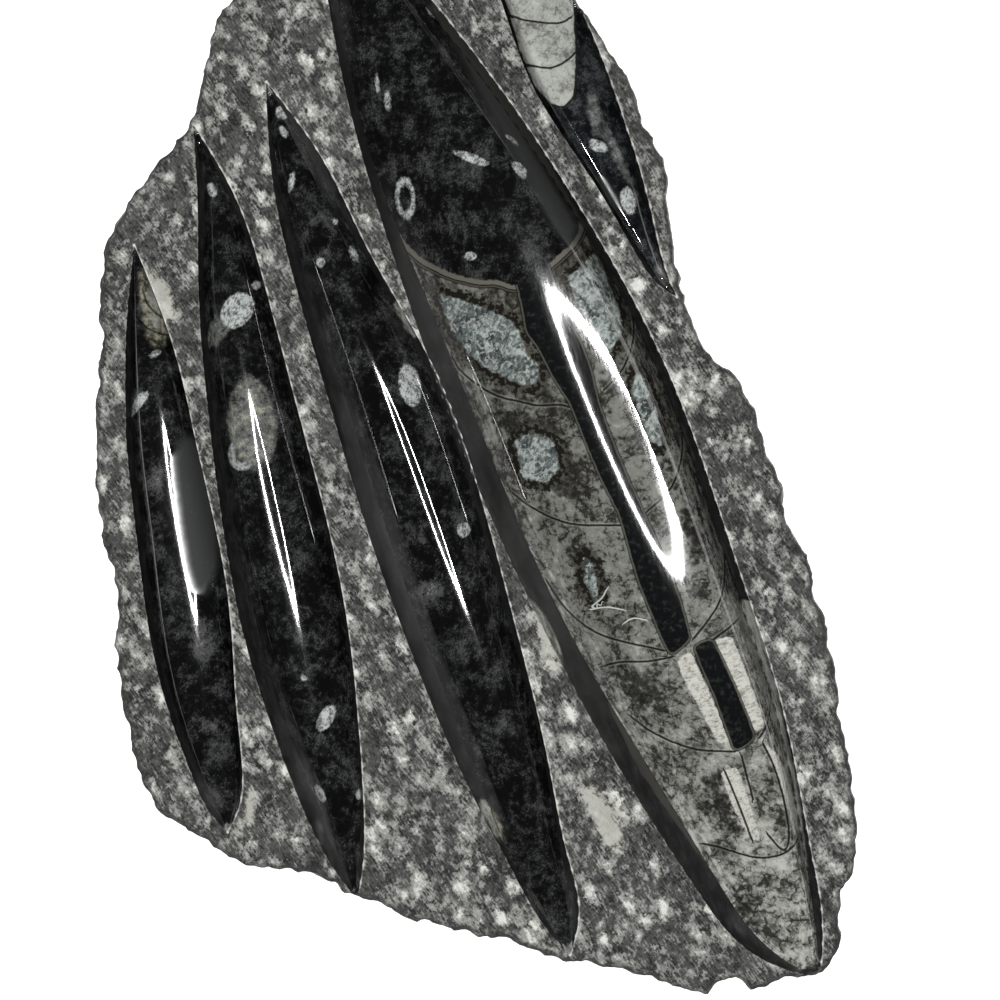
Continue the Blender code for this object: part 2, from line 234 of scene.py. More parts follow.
class Relief:
    """A spear's carved form, for many points at once."""

    def __init__(self, spear: Spear, thickness: float) -> None:
        """Works out the chord and the four lines along it."""
        self.spear = spear
        self.thickness = thickness
        self.start = np.array(spear.upper_tip)
        chord = np.array(spear.lower_tip) - self.start
        self.length = float(np.hypot(*chord))
        self.along = chord / self.length
        self.right = np.array((-self.along[1], self.along[0]))
        rows = (spear.left_rim, spear.left_foot, spear.right_foot, spear.right_rim)
        self.lines = [Curve(row) for row in rows]

    def line(self, number: int, step: float, first: float = 0.0, last: float = 1.0) -> np.ndarray:
        """Points along a rim or a foot.

        Args:
            number: 0 and 3 are the left and right rim, 1 and 2 the feet between them.
            step: the points' spacing.
            first: share of the chord where the line starts.
            last: share of the chord where it ends.

        Returns:
            The points, from the upper end to the lower one.
        """
        count = max(4, round((last - first) * self.length / step))
        share = np.linspace(first, last, count + 1)
        offset = self.lines[number].at(share)
        return self.start + np.outer(share * self.length, self.along) + np.outer(offset, self.right)

    def locate(self, points: np.ndarray) -> tuple[np.ndarray, np.ndarray]:
        """The points' share of the chord and their offset to its right."""
        offset = points - self.start
        return offset @ self.along / self.length, offset @ self.right

    def height(self, points: np.ndarray, face: np.ndarray) -> tuple[np.ndarray, np.ndarray, np.ndarray]:
        """Heights over the sawn back, with where they are the trough's and where the body's.

        Args:
            points: places on the slab.
            face: the pecked face's height at each point.

        Returns:
            The height at each point, whether it is inside the rims, and whether it is on the body.
        """
        share, across = self.locate(points)
        held = np.clip(share, 0, 1)
        left_rim, left_foot, right_foot, right_rim = (line.at(held) for line in self.lines)
        inside = (share > 0) & (share < 1) & (across > left_rim) & (across < right_rim)
        body = inside & (across > left_foot) & (across < right_foot)
        from_middle = np.abs(2 * held - 1)
        groove = self.spear.groove * (1 - from_middle**4)
        peak = self.spear.peak
        from_peak = np.where(held < peak, (peak - held) / peak, (held - peak) / (1 - peak))
        crest = self.spear.crest * (1 - from_peak**self.spear.fullness)
        middle = (left_foot + right_foot) / 2
        half = np.maximum((right_foot - left_foot) / 2, 1e-6)
        keel = middle + np.clip(self.spear.keel + self.spear.keel_drift * (held - 0.5), -0.9, 0.9) * half
        left_out = np.clip((keel - across) / (keel - left_foot), 0, 1)
        right_out = np.clip((across - keel) / (right_foot - keel), 0, 1)
        left_crown = self.spear.left_crown + (self.spear.tip_crown - self.spear.left_crown) * from_middle**2
        right_crown = self.spear.right_crown + (self.spear.tip_crown - self.spear.right_crown) * from_middle**2
        fall = left_out**left_crown + right_out**right_crown
        on_body = self.thickness - groove + (crest + groove) * (1 - fall)
        from_left = (across - left_rim) / np.maximum(left_foot - left_rim, 1e-6)
        from_right = (right_rim - across) / np.maximum(right_rim - right_foot, 1e-6)
        down = np.clip(np.where(across < middle, from_left, from_right), 0, 1) ** 0.8
        on_wall = face * (1 - down) + (self.thickness - groove) * down
        return np.where(body, on_body, on_wall), inside, body


@dataclass(frozen=True)
class Sizes:
    """Sizes of the stone itself."""

    thickness: float = 24.0
    bare_tip: float = 0.014  # share of a spear's length that the polish leaves out at each tip
    edge_inset: float = 0.7  # from the widest outline to the face's border
    edge_round: float = 2.8  # width of the worn edge
    edge_drop: float = 2.0
    widest_below_face: float = 4.5
    back_inset: float = 4.5
    side_levels: tuple[float, ...] = (0.73, 0.65, 0.57, 0.49, 0.41, 0.33, 0.25, 0.17, 0.09)
    side_roughness: float = 1.4
    side_break: float = 8.0  # size of the breaks on the side
    side_smoothing: int = 16
    bite: float = 1.7  # depth of the bites along the outline, which meet in sharp cusps
    bite_size: float = 5.2
    swell: float = 0.5
    swell_size: float = 45.0
    lump: float = 0.75
    lump_size: float = 7.0
    pit: float = 0.55  # depth of the deepest pits the pick left
    pit_spacing: float = 3.3
    pit_reach: float = 2.6  # radius of a pit
    pit_lean: float = 26.0  # degrees anticlockwise from upright of their long way
    pit_stretch: float = 1.35
    outline_step: float = 0.95
    line_step: float = 0.8
    line_clear: float = 0.6
    line_share: float = 0.55
    tip_share: float = 0.012
    body_step: float = 0.8
    wall_step: float = 0.7
    face_step: float = 0.8
    seed: int = 5


@dataclass(frozen=True)
class Oval:
    """An oval bit of shell or a patch in the polished rock, filled or hollow."""

    mark: Mark
    x: float
    y: float
    long: float
    short: float
    turn: float = 0.0  # degrees anticlockwise from upright
    wall: float = 0.0  # a hollow one's wall, 0 for a filled one

    def distance(self, points: np.ndarray) -> np.ndarray:
        """How far points are outside the oval, negative within it."""
        turn = math.radians(self.turn)
        dx, dy = points[:, 0] - self.x, points[:, 1] - self.y
        up = -dx * math.sin(turn) + dy * math.cos(turn)
        side = dx * math.cos(turn) + dy * math.sin(turn)
        reach = np.hypot(up / (self.long / 2), side / (self.short / 2))
        gap = (reach - 1) * self.short / 2
        return np.abs(gap) - self.wall / 2 if self.wall else gap


@dataclass(frozen=True)
class Patch:
    """A patch with a drawn outline."""

    mark: Mark
    outline: tuple[Point, ...]

    def distance(self, points: np.ndarray) -> np.ndarray:
        """How far points are outside the patch, negative within it."""
        ring = np.array(self.outline, float)
        ring = np.stack([ring + (np.roll(ring, -1, axis=0) - ring) * share for share in (0.1, 0.9)], axis=1)
        ring = rounded(ring.reshape(-1, 2), closed=True)
        gap = line_distance(points, np.vstack((ring, ring[:1])))[0]
        return np.where(inside_ring(points, ring), -gap, gap)


@dataclass(frozen=True)
class Stroke:
    """A drawn line, such as the wall between two chambers."""

    mark: Mark
    points: tuple[Point, ...]


def rounded(line: np.ndarray, closed: bool) -> np.ndarray:
    """The line or ring with its corners cut off three times over, which leaves a smooth curve."""
    for _ in range(3):
        ends = line if closed else line[:-1]
        after = np.roll(line, -1, axis=0) if closed else line[1:]
        cut = np.stack((ends * 0.75 + after * 0.25, ends * 0.25 + after * 0.75), axis=1).reshape(-1, 2)
        line = cut if closed else np.vstack((line[:1], cut, line[-1:]))
    return line


def line_distance(points: np.ndarray, line: np.ndarray) -> tuple[np.ndarray, np.ndarray]:
    """Distances to a line of straight runs.

    Args:
        points: the places measured from.
        line: the line's points in order.

    Returns:
        The distance of each point, and on which side of the line it is, -1 or 1.
    """
    best = np.full(len(points), 1e9)
    side = np.ones(len(points))
    for a, b in zip(line[:-1], line[1:]):
        run = b - a
        offset = points - a
        share = np.clip(offset @ run / max(run @ run, 1e-12), 0, 1)
        gap = np.hypot(*(offset - np.outer(share, run)).T)
        turn = np.sign(run[0] * offset[:, 1] - run[1] * offset[:, 0])
        nearer = gap < best
        best[nearer] = gap[nearer]
        side[nearer] = turn[nearer]
    return best, side


def inside_ring(points: np.ndarray, ring: np.ndarray) -> np.ndarray:
    """Whether each point is inside a closed ring."""
    odd = np.zeros(len(points), bool)
    for a, b in zip(ring, np.roll(ring, -1, axis=0)):
        if a[1] == b[1]:
            continue
        level = (a[1] > points[:, 1]) != (b[1] > points[:, 1])
        odd ^= level & (points[:, 0] < a[0] + (points[:, 1] - a[1]) / (b[1] - a[1]) * (b[0] - a[0]))
    return odd


def smooth_ring(corners: tuple[Point, ...], step: float) -> np.ndarray:
    """A closed smooth curve through the corners, at an even spacing.

    Args:
        corners: the points that the curve passes through.
        step: the spacing.

    Returns:
        The points of the ring.
    """
    knots = np.array(corners, float)
    dense = []
    for i in range(len(knots)):
        p0, p1, p2, p3 = (knots[(i + k) % len(knots)] for k in (-1, 0, 1, 2))
        for t in np.linspace(0, 1, 16, endpoint=False):
            dense.append(
                0.5 * (2 * p1 + (p2 - p0) * t + (2 * p0 - 5 * p1 + 4 * p2 - p3) * t**2
                       + (3 * p1 - p0 - 3 * p2 + p3) * t**3)
            )  # fmt: skip
    dense.append(dense[0])
    dense = np.array(dense)
    reach = np.r_[0, np.cumsum(np.hypot(*np.diff(dense, axis=0).T))]
    even = np.linspace(0, reach[-1], round(reach[-1] / step), endpoint=False)
    return np.stack([np.interp(even, reach, dense[:, k]) for k in (0, 1)], axis=1)


def inset(ring: np.ndarray, amount: float | np.ndarray) -> np.ndarray:
    """The anticlockwise ring moved inwards, by one amount or by each point's own."""
    run = np.roll(ring, -1, axis=0) - np.roll(ring, 1, axis=0)
    run /= np.hypot(*run.T)[:, None]
    return ring + np.stack((-run[:, 1], run[:, 0]), axis=1) * np.reshape(amount, (-1, 1))


def smoothed(ring: np.ndarray, rounds: int) -> np.ndarray:
    """The ring with each point drawn towards its neighbours, again and again."""
    for _ in range(rounds):
        ring = (np.roll(ring, 1, axis=0) + ring * 2 + np.roll(ring, -1, axis=0)) / 4
    return ring


def noise_at(points: np.ndarray, level: float, size: float) -> np.ndarray:
    """Smooth noise from -1 to 1 at places on one level, with features of about the given size."""
    return np.array([noise.noise(Vector((x, y, level)) / size) for x, y in points])


def nearest(points: np.ndarray, targets: np.ndarray) -> np.ndarray:
    """The distance of each point to the nearest target."""
    tree = kdtree.KDTree(len(targets))
    for i, (x, y) in enumerate(targets):
        tree.insert((x, y, 0.0), i)
    tree.balance()
    return np.array([tree.find((x, y, 0.0))[2] for x, y in points])


# Bits of shell, crystal and mud that the polish lays bare, and pale calcite in the pecked rock.
MARKS: tuple[Oval | Patch | Stroke, ...] = (
    # outer_left
    Oval(Mark.CALCITE, -79.8, 21.6, long=15, short=6.0, turn=6),
    Oval(Mark.SHADE, -83.6, 0.6, long=6, short=5, turn=-40),
    Oval(Mark.SHADE, -78.8, -19.4, long=9, short=3, turn=5),
    Oval(Mark.SHADE, -68.2, -58.5, long=12, short=5, turn=8),
    Patch(
        Mark.DULL,
        ((-76, -14.5), (-75.2, -21.2), (-74, -31.2), (-72.2, -41.2), (-70.6, -46.7), (-67, -48.2),
         (-62.7, -40.7), (-63.7, -27.7), (-65.5, -16.7), (-69.7, -6), (-73.7, -7)),
    ),
    Oval(Mark.CALCITE, -79.4, 27, long=16, short=8.4, turn=20),
    Stroke(Mark.SEPTUM, ((-83, 29), (-82, 25.4), (-79.6, 22.6), (-76.6, 21))),
    Stroke(Mark.SEPTUM, ((-84.5, 22), (-82, 19.2), (-79, 17.8), (-75.6, 17.4))),
    Oval(Mark.FLECK, -79.8, 12.6, long=2.4, short=1.2, turn=-60),
    Patch(Mark.FLECK, ((-86.4, -1), (-83.6, 2.6), (-81.2, 3.4), (-81.6, 1.4), (-84.4, -1.6), (-86.6, -3))),
    Oval(Mark.SHADE, -66.2, -80, long=7, short=3.4, turn=70),
    Oval(Mark.CALCITE, -56.4, -101.5, long=12, short=4.2, turn=2),
    Oval(Mark.CALCITE, -59.4, -106, long=7, short=4, turn=-30),
    # inner_left
    Oval(Mark.FLECK, -59.2, 23.4, long=9.4, short=7, turn=-35),
    Patch(Mark.POCKET, ((-64.4, 23), (-61.6, 19.6), (-60, 19), (-64.4, 14.4), (-67.4, 14.6), (-68, 17))),
    Oval(Mark.FLECK, -54.8, 30, long=1.9, short=1.6),
    Oval(Mark.FLECK, -65.6, 53.6, long=3.2, short=2, turn=20),
    Oval(Mark.POCKET, -55.4, -4.8, long=24, short=12.4, turn=4),
    Oval(Mark.FLECK, -58.0, -12.4, long=6, short=5.6, wall=1.7),
    Oval(Mark.FLECK, -37.1, -78.1, long=6.4, short=3.2, turn=-28),
    Oval(Mark.FLECK, -38.8, -97.2, long=4, short=2, turn=25),
    Oval(Mark.FLECK, -29, -97.6, long=2.2, short=1.6),
    Oval(Mark.FLECK, -42.5, -68, long=1.4, short=1.3),
    # middle
    Oval(Mark.FLECK, -48.3, 73.2, long=3.2, short=2.8),
    Oval(Mark.FLECK, -47.8, 68.2, long=2.6, short=1.4, turn=30),
    Oval(Mark.FLECK, -45.8, 55.5, long=3.8, short=1.3, turn=-10),
    Oval(Mark.SHADE, -39, 41.5, long=11.5, short=6.4, turn=-22, wall=0.6),
    Oval(Mark.FLECK, -38.4, 35.4, long=2.2, short=2),
    Oval(Mark.FLECK, -35, 45.8, long=1.4, short=1.2),
    Oval(Mark.FLECK, -30.4, 37.8, long=3.4, short=1.6, turn=22),
    Oval(Mark.FLECK, -16.2, 4.8, long=10, short=5, turn=10),
    Oval(Mark.FLECK, -2.8, -31.2, long=3.4, short=3),
    Oval(Mark.SHADE, -14, -41.2, long=16, short=10.6, turn=10, wall=0.5),
    Oval(Mark.SHADE, -11.5, -46, long=5, short=7, turn=10),
    Patch(Mark.CALCITE, ((-21, 25.5), (-19, 26.5), (-14.5, 16.5), (-16.8, 18))),
    Oval(Mark.CALCITE, 4.3, -104.2, long=12, short=3, turn=29),
    # large_chambered, in the mud of its living chamber
    Oval(Mark.FLECK, -17.5, 51.9, long=8.4, short=4.2, turn=6, wall=0.7),
    Oval(Mark.FLECK, -21.8, 75.8, long=4, short=1.3, turn=5),
    Oval(Mark.FLECK, -24.4, 80.3, long=3.6, short=0.8, turn=5),
    Oval(Mark.FLECK, -0.8, 60.9, long=7.4, short=1.8, turn=69),
    Oval(Mark.FLECK, 10.8, 58, long=4, short=1.4, turn=40),
    Patch(Mark.FLECK, ((7.5, 67.2), (9, 66.8), (10.5, 65.5), (10.8, 64.5), (9.5, 65.5), (8.2, 66.2))),
    Patch(Mark.FLECK, ((9.2, 59.8), (11.2, 59.8), (12.8, 58), (12.5, 56.2), (11.5, 57), (10.5, 58.5))),
    Patch(Mark.DULL, ((27.5, 45), (24, 37.5), (19, 43), (9, 61), (-1, 79), (-11, 101), (-18, 130), (-4, 110), (8, 78))),
    Patch(
        Mark.DULL,
        ((32, -72), (41.6, -92), (55.8, -112), (71, -132.6), (81, -140.4), (86, -141), (73, -132.2), (57.8, -111)),
    ),
    Patch(
        Mark.CALCITE,
        ((63.2, -48.8), (66, -53.8), (69.2, -63.8), (72.8, -73.8), (75.5, -83.8), (78.2, -96.2), (80.5, -111.2),
         (82, -123.8), (83.2, -136.2), (84.6, -136), (84, -123.8), (82.9, -111.2), (80.9, -96.2), (78.2, -83.8),
         (76.2, -73.8), (73.4, -63.8), (70.9, -53.8), (69.4, -48.8)),
    ),
    Oval(Mark.FLECK, -1.1, 36.8, long=2, short=2.7),
    Oval(Mark.FLECK, -10.4, 99.6, long=4.2, short=3.2, turn=30),
    Patch(
        Mark.MUD,
        (
            (-20, 45), (-17, 40.5), (-12.5, 36.5), (-8, 34), (-4.5, 32.5), (1, 31), (5.5, 31),
            (9.5, 29.5), (14, 30), (18, 34.5), (21.5, 37.5), (24, 40), (26, 44), (26, 47.5),
            (25, 52), (40, 60), (20, 160), (-60, 160), (-50, 60),
        ),
    ),
    # its siphuncle, with white calcite along it lower down
    Patch(
        Mark.SIPHUNCLE,
        (
            (10, 33), (12, 24), (13, 18), (16, 14), (19.5, 7), (24, 0), (28.5, -11.5), (32, -19.5),
            (36, -27), (38, -34), (40.5, -43), (44.5, -53), (48.5, -62), (53, -58), (50.5, -49),
            (48, -42), (45, -35), (41, -26), (37, -17.5), (33, -7.5), (30, 1), (28.5, 8),
            (26, 15), (22, 21.5), (17.5, 36),
        ),
    ),
    Patch(Mark.SIPHUNCLE, ((54.2, -60), (58.4, -58.2), (64, -70), (69, -82.4), (66.4, -84.6), (64.4, -85.4), (60, -73))),
    Patch(Mark.STRIP, ((50.2, -62.8), (53.4, -61.2), (60.6, -77.4), (63, -84), (60.4, -84), (53.4, -71), (51, -66.5))),
    Patch(Mark.STRIP, ((59.2, -58.2), (63.4, -57.4), (66.4, -65), (70.6, -75.6), (71.6, -79.6), (69.4, -81.4), (63, -67))),
    Patch(Mark.STRIP, ((61, -91), (65, -90), (68, -99), (71, -108.6), (68.6, -108), (64, -99.6))),
    Patch(Mark.STRIP, ((71.6, -84), (75.4, -87), (79, -96), (80.6, -104), (79.6, -108), (77.4, -98), (74, -89))),
    # the walls between its chambers
    Stroke(Mark.SEPTUM, ((-6, 12.5), (-4, 9), (0, 5.5), (5.5, 2), (12, 0.5), (16, -0.5), (21, 0), (24, -1))),
    Stroke(Mark.SEPTUM, ((32, 3.5), (36, 7.5), (38, 11.5), (39.5, 16), (40, 21.5), (39, 25))),
    Stroke(Mark.SEPTUM, ((9.5, -22), (13, -25), (19.5, -28.5), (25, -30), (31, -30), (36, -30))),
    Stroke(Mark.SEPTUM, ((42, -27), (45, -24.5), (48.5, -21), (50.5, -16.5), (52, -11), (52, -7))),
    Stroke(Mark.SEPTUM, ((18, -44), (21, -49), (24.5, -53), (30, -57), (36.5, -59), (42, -60), (47, -61))),
    Stroke(Mark.SEPTUM, ((54, -58), (58, -53), (61, -48), (62.5, -42), (63, -37), (62, -32))),
    Stroke(Mark.SEPTUM, ((32, -65.5), (36, -64), (42, -64), (47, -63), (49, -62.5))),
    Stroke(Mark.SEPTUM, ((58.5, -58.5), (61, -56.5), (66, -53))),
    Stroke(Mark.SEPTUM, ((39, -78), (43.5, -81.5), (49, -84), (53.5, -85.5), (57, -86), (64.5, -86))),
    Stroke(Mark.SEPTUM, ((70.5, -82.5), (73, -78), (74.5, -73), (74.5, -68))),
    Stroke(Mark.SEPTUM, ((57, -110), (61, -110.5), (66, -112), (71, -113), (76, -112), (79, -110), (82, -106))),
    Stroke(Mark.SEPTUM, ((62, -91), (65, -98), (69, -108.5))),
    Stroke(Mark.SEPTUM, ((66, -87), (69, -98))),
    Stroke(
        Mark.SEPTUM,
        ((71.2, -83.8), (73.8, -88.8), (76.2, -96.2), (77.8, -103.8), (78, -109), (76.6, -111.4), (72.6, -106.6)),
    ),
    Stroke(Mark.SEPTUM, ((76.6, -80), (78.6, -88), (80.5, -100))),
    # scratches
    Stroke(Mark.SCRATCH, ((9.2, 49.2), (12.2, 46), (15, 43.2))),
    Stroke(Mark.SCRATCH, ((0.2, 34.8), (3.8, 34), (6.8, 34.2), (9.8, 36.2))),
    Stroke(Mark.SCRATCH, ((29.2, -50.2), (31.5, -48.4), (32.8, -45.8))),
    Stroke(Mark.SCRATCH, ((29.2, -51), (32.8, -50.2), (36.8, -51))),
    Stroke(Mark.SCRATCH, ((37.2, -54.2), (39.2, -52.8), (42.2, -53.5))),
    # crystals and stains in its chambers
    Patch(
        Mark.GEODE,
        ((-9, 28), (2, 24), (10, 20), (12.5, 13), (16, 9), (15, 4.5), (10, 5.5), (3.5, 9), (-1.5, 13), (-6, 20)),
    ),
    Patch(
        Mark.GEODE,
        (
            (30, 38), (32, 34.5), (34, 28.5), (36, 23), (36, 17.5), (33, 12), (30.5, 15), (27, 21.5),
            (25, 26), (23, 31), (27, 35),
        ),
    ),
    Patch(Mark.GEODE, ((10, -9), (14, -7), (19.5, -9), (21, -16), (17.5, -19.5), (12, -18))),
    Patch(Mark.GEODE, ((40, 8), (42, 6), (44, 1), (46, -6), (46, -10.5), (43, -9), (41, -2.5), (39, 3))),
    Patch(Mark.GEODE, ((27, -38), (29, -39), (30, -43), (31, -48), (30, -49), (27.5, -44))),
    Patch(
        Mark.STAIN,
        ((6, -2), (12, -1), (19, -3), (24, -9), (27.5, -19), (26, -25), (20, -24), (14, -21), (9, -15), (7, -9)),
    ),
    Patch(Mark.STAIN, ((39, 10), (42.5, 8), (46, 0), (49, -9), (47, -12.5), (44, -11), (41, -4), (39, 4))),
    Patch(Mark.STAIN, ((23, -36), (28, -34), (31, -38), (34, -46), (32, -51), (28, -49), (25, -42.5))),
    Patch(Mark.STAIN, ((50.5, -25), (54, -27), (57, -34), (57, -39), (54, -39), (51, -32.5))),
    Patch(Mark.STAIN, ((33.5, -66), (41, -65), (45, -66), (47, -71), (49, -77), (46, -78), (40, -75), (35, -71))),
    Patch(Mark.STAIN, ((56, -92), (61, -92), (64, -99), (68, -108), (66, -109), (60, -102.5), (57, -97))),
    # upper_right, pale with chambers down to its rounded inner end
    Patch(
        Mark.CALCITE,
        ((-10, 150), (-2, 116), (8, 101), (11, 90), (15, 80), (19, 75), (22, 74), (24.5, 77), (25, 86),
         (24.5, 101), (24, 116), (20, 150)),
    ),
    Stroke(Mark.SEPTUM, ((7.5, 99), (9, 97), (12, 95.5), (17, 95), (21.5, 95), (24, 97))),
    Stroke(Mark.SEPTUM, ((12, 86), (13.5, 84.5), (17.5, 83.5), (20.5, 84), (24, 86.5), (25, 88))),
    Stroke(Mark.SEPTUM, ((1, 112), (5, 109), (11, 107.5), (17, 107.5), (22, 110))),
    Stroke(Mark.SEPTUM, ((-3, 125), (2, 121.5), (8, 120), (14, 120.5), (19, 123))),
    Patch(Mark.DULL, ((29.4, 57.6), (32.4, 57), (36.2, 51.6), (37.2, 47.4), (34.2, 48.6), (30.8, 53.4))),
    Oval(Mark.POCKET, 29.6, 73, long=12, short=3.4, turn=8),
    Oval(Mark.POCKET, 35.4, 62.5, long=19, short=2.6, turn=24),
    Oval(Mark.FLECK, 30.6, 64.4, long=4.4, short=2.6, turn=70),
    Oval(Mark.POCKET, 46.6, 33, long=11, short=2.6, turn=22),
    Oval(Mark.FLECK, 38.2, 50.8, long=6.4, short=3.6, turn=10),
    # pale calcite in the pecked rock, and a fresh chip on the lower edge
    Oval(Mark.CALCITE, 17.5, -57.5, long=19, short=4.5, turn=25),
    Oval(Mark.CALCITE, 32, -102.5, long=20, short=7, turn=30),
    Oval(Mark.CALCITE, 63, -147, long=7, short=11),
)  # fmt: skip

# Where the pecked rock is more or less bruised than elsewhere: x, y, reach and amount.
BRUISING: tuple[tuple[float, float, float, float], ...] = (
    (-92, 2, 20, 0.22), (-60, 85, 36, -0.05), (-30, 20, 30, 0.02), (20, -80, 34, 0.26),
    (84, -90, 34, 0.24), (74, 6, 26, 0.06), (-20, -100, 34, 0.06), (40, 60, 26, 0.0),
    (-78, -80, 20, 0.08), (-15, 118, 22, 0.12), (30, -132, 22, 0.02),
)  # fmt: skip


def marks_at(points: np.ndarray) -> dict[str, np.ndarray]:
    """How far the points are from each kind of mark.

    Args:
        points: places on the carved face.

    Returns:
        A distance for each point under each mark's name, negative inside a patch. For the drawn lines
        there is also the distance with a sign that changes across the line, as "septum_side".
    """
    found = {mark.value: np.full(len(points), 60.0) for mark in Mark}
    found.update({mark.mark.value + "_side": np.full(len(points), 60.0) for mark in MARKS if isinstance(mark, Stroke)})
    for mark in MARKS:
        name = mark.mark.value
        if isinstance(mark, Stroke):
            gap, side = line_distance(points, rounded(np.array(mark.points, float), closed=False))
            nearer = gap < found[name]
            found[name + "_side"][nearer] = (gap * side)[nearer]
            found[name] = np.minimum(found[name], gap)
        else:
            found[name] = np.minimum(found[name], mark.distance(points))
    return found


class Slab:
    """The stone: carved face, broken sides and sawn back, as one closed mesh."""

    def __init__(self, sizes: Sizes) -> None:
        """Prepares the outline and the spears' relief."""
        self.sizes = sizes
        self.reliefs = [Relief(spear, sizes.thickness) for spear in SPEARS]
        ring = smooth_ring(OUTLINE, sizes.outline_step)
        bites = np.abs(noise_at(ring, 12.0, sizes.bite_size)) * sizes.bite
        bites += np.abs(noise_at(ring, 47.0, sizes.bite_size / 2.3)) * sizes.bite * 0.35
        self.outline = inset(ring, bites - sizes.bite * 0.2)
        self.border = inset(self.outline, sizes.edge_inset)

    def pecked(self, points: np.ndarray) -> np.ndarray:
        """How far the pecked face stands over its mean height, before the finest pecking."""
        s = self.sizes
        return s.swell * noise_at(points, 135.0, s.swell_size) + s.lump * noise_at(points, 56.0, s.lump_size)

    def picked(self, points: np.ndarray) -> tuple[np.ndarray, np.ndarray]:
        """The pits that the pick left, side by side with ridges between them.

        Args:
            points: places on the carved face.

        Returns:
            How deep each point lies in its pit, and how near it is to a bruised ridge, from 0 to 1.
        """
        s = self.sizes
        turn = math.radians(s.pit_lean)
        along = (points[:, 1] * math.cos(turn) - points[:, 0] * math.sin(turn)) / s.pit_stretch
        side = points[:, 0] * math.cos(turn) + points[:, 1] * math.sin(turn)
        spread = np.random.default_rng(s.seed)
        ticks = np.arange(-190, 190, s.pit_spacing)
        x, y = np.meshgrid(ticks, ticks)
        middles = np.stack((x.ravel(), y.ravel()), axis=1)
        middles += spread.uniform(-0.5, 0.5, middles.shape) * s.pit_spacing
        depths = spread.uniform(0.15, 1.0, len(middles))
        blows = spread.uniform(0.0, 1.0, len(middles)) ** 1.6
        tree = kdtree.KDTree(len(middles))
        for i, (u, v) in enumerate(middles):
            tree.insert((u, v, 0.0), i)
        tree.balance()
        deep = np.zeros(len(points))
        ridge = np.zeros(len(points))
        for i, (u, v) in enumerate(zip(side, along)):
            (_, first, near), (_, second, far) = tree.find_n((u, v, 0.0), 2)
            deep[i] = s.pit * depths[first] * max(0.0, 1 - (near / s.pit_reach) ** 2)
            ridge[i] = max(blows[first], blows[second]) * max(0.0, 1 - (far - near) / 1.5)
        return deep, ridge

    def survey(self, points: np.ndarray) -> dict[str, np.ndarray]:
        """Height, zone and every mark at places on the carved face.

        Args:
            points: places on the carved face.

        Returns:
            Arrays by name: "height", "zone", "ridge", "deep", "across", "along", "right_wall", "edge",
            "left_rim", "right_rim", "foot", "bruise" and the marks'.
        """
        s = self.sizes
        deep, ridge = self.picked(points)
        plain = s.thickness + self.pecked(points) + s.pit / 2 - deep
        zone = np.full(len(points), Zone.PECKED.value)
        across = np.zeros(len(points))
        along = np.zeros(len(points))
        right_wall = np.zeros(len(points))
        walls = plain.copy()
        bodies = np.full(len(points), -1.0)
        for relief in self.reliefs:
            height, inside, body = relief.height(points, plain)
            wall = inside & ~body & (height < walls + 1e-6)
            walls[wall] = height[wall]
            zone[wall & (zone == Zone.PECKED.value)] = Zone.GROUND.value
            higher = body & (height > bodies)
            bodies[higher] = height[higher]
            zone[higher] = relief.spear.zone.value
            share, offset = relief.locate(points)
            owned = wall | higher
            across[owned] = offset[owned]
            along[owned] = (share * relief.length)[owned]
            left_foot, right_foot = (relief.lines[number].at(np.clip(share, 0, 1)) for number in (1, 2))
            # Walls right of the body's middle, which the ground finish paints lighter as a painted reflection.
            right_wall[wall & (offset > (left_foot + right_foot) / 2)] = 1.0
        height = np.where(bodies > 0, bodies, walls)
        found = marks_at(points)
        found["edge"] = nearest(points, self.outline)
        worn = np.clip(1 - found["edge"] / s.edge_round, 0, 1)
        found["height"] = height - s.edge_drop * worn**2
        found["zone"] = zone
        found["ridge"] = ridge
        found["deep"] = deep / s.pit
        found["across"] = across
        found["along"] = along
        found["right_wall"] = right_wall
        left = np.vstack([relief.line(0, 1.0) for relief in self.reliefs])
        right = np.vstack([relief.line(3, 1.0) for relief in self.reliefs])
        feet = np.vstack([relief.line(number, 1.0, 0.02, 0.98) for relief in self.reliefs for number in (1, 2)])
        found["left_rim"] = nearest(points, left)
        found["right_rim"] = nearest(points, right)
        found["foot"] = nearest(points, feet)
        bruise = np.zeros(len(points))
        for x, y, reach, amount in BRUISING:
            bruise += amount * np.exp(-((points[:, 0] - x) ** 2 + (points[:, 1] - y) ** 2) / reach**2)
        found["bruise"] = bruise
        return found

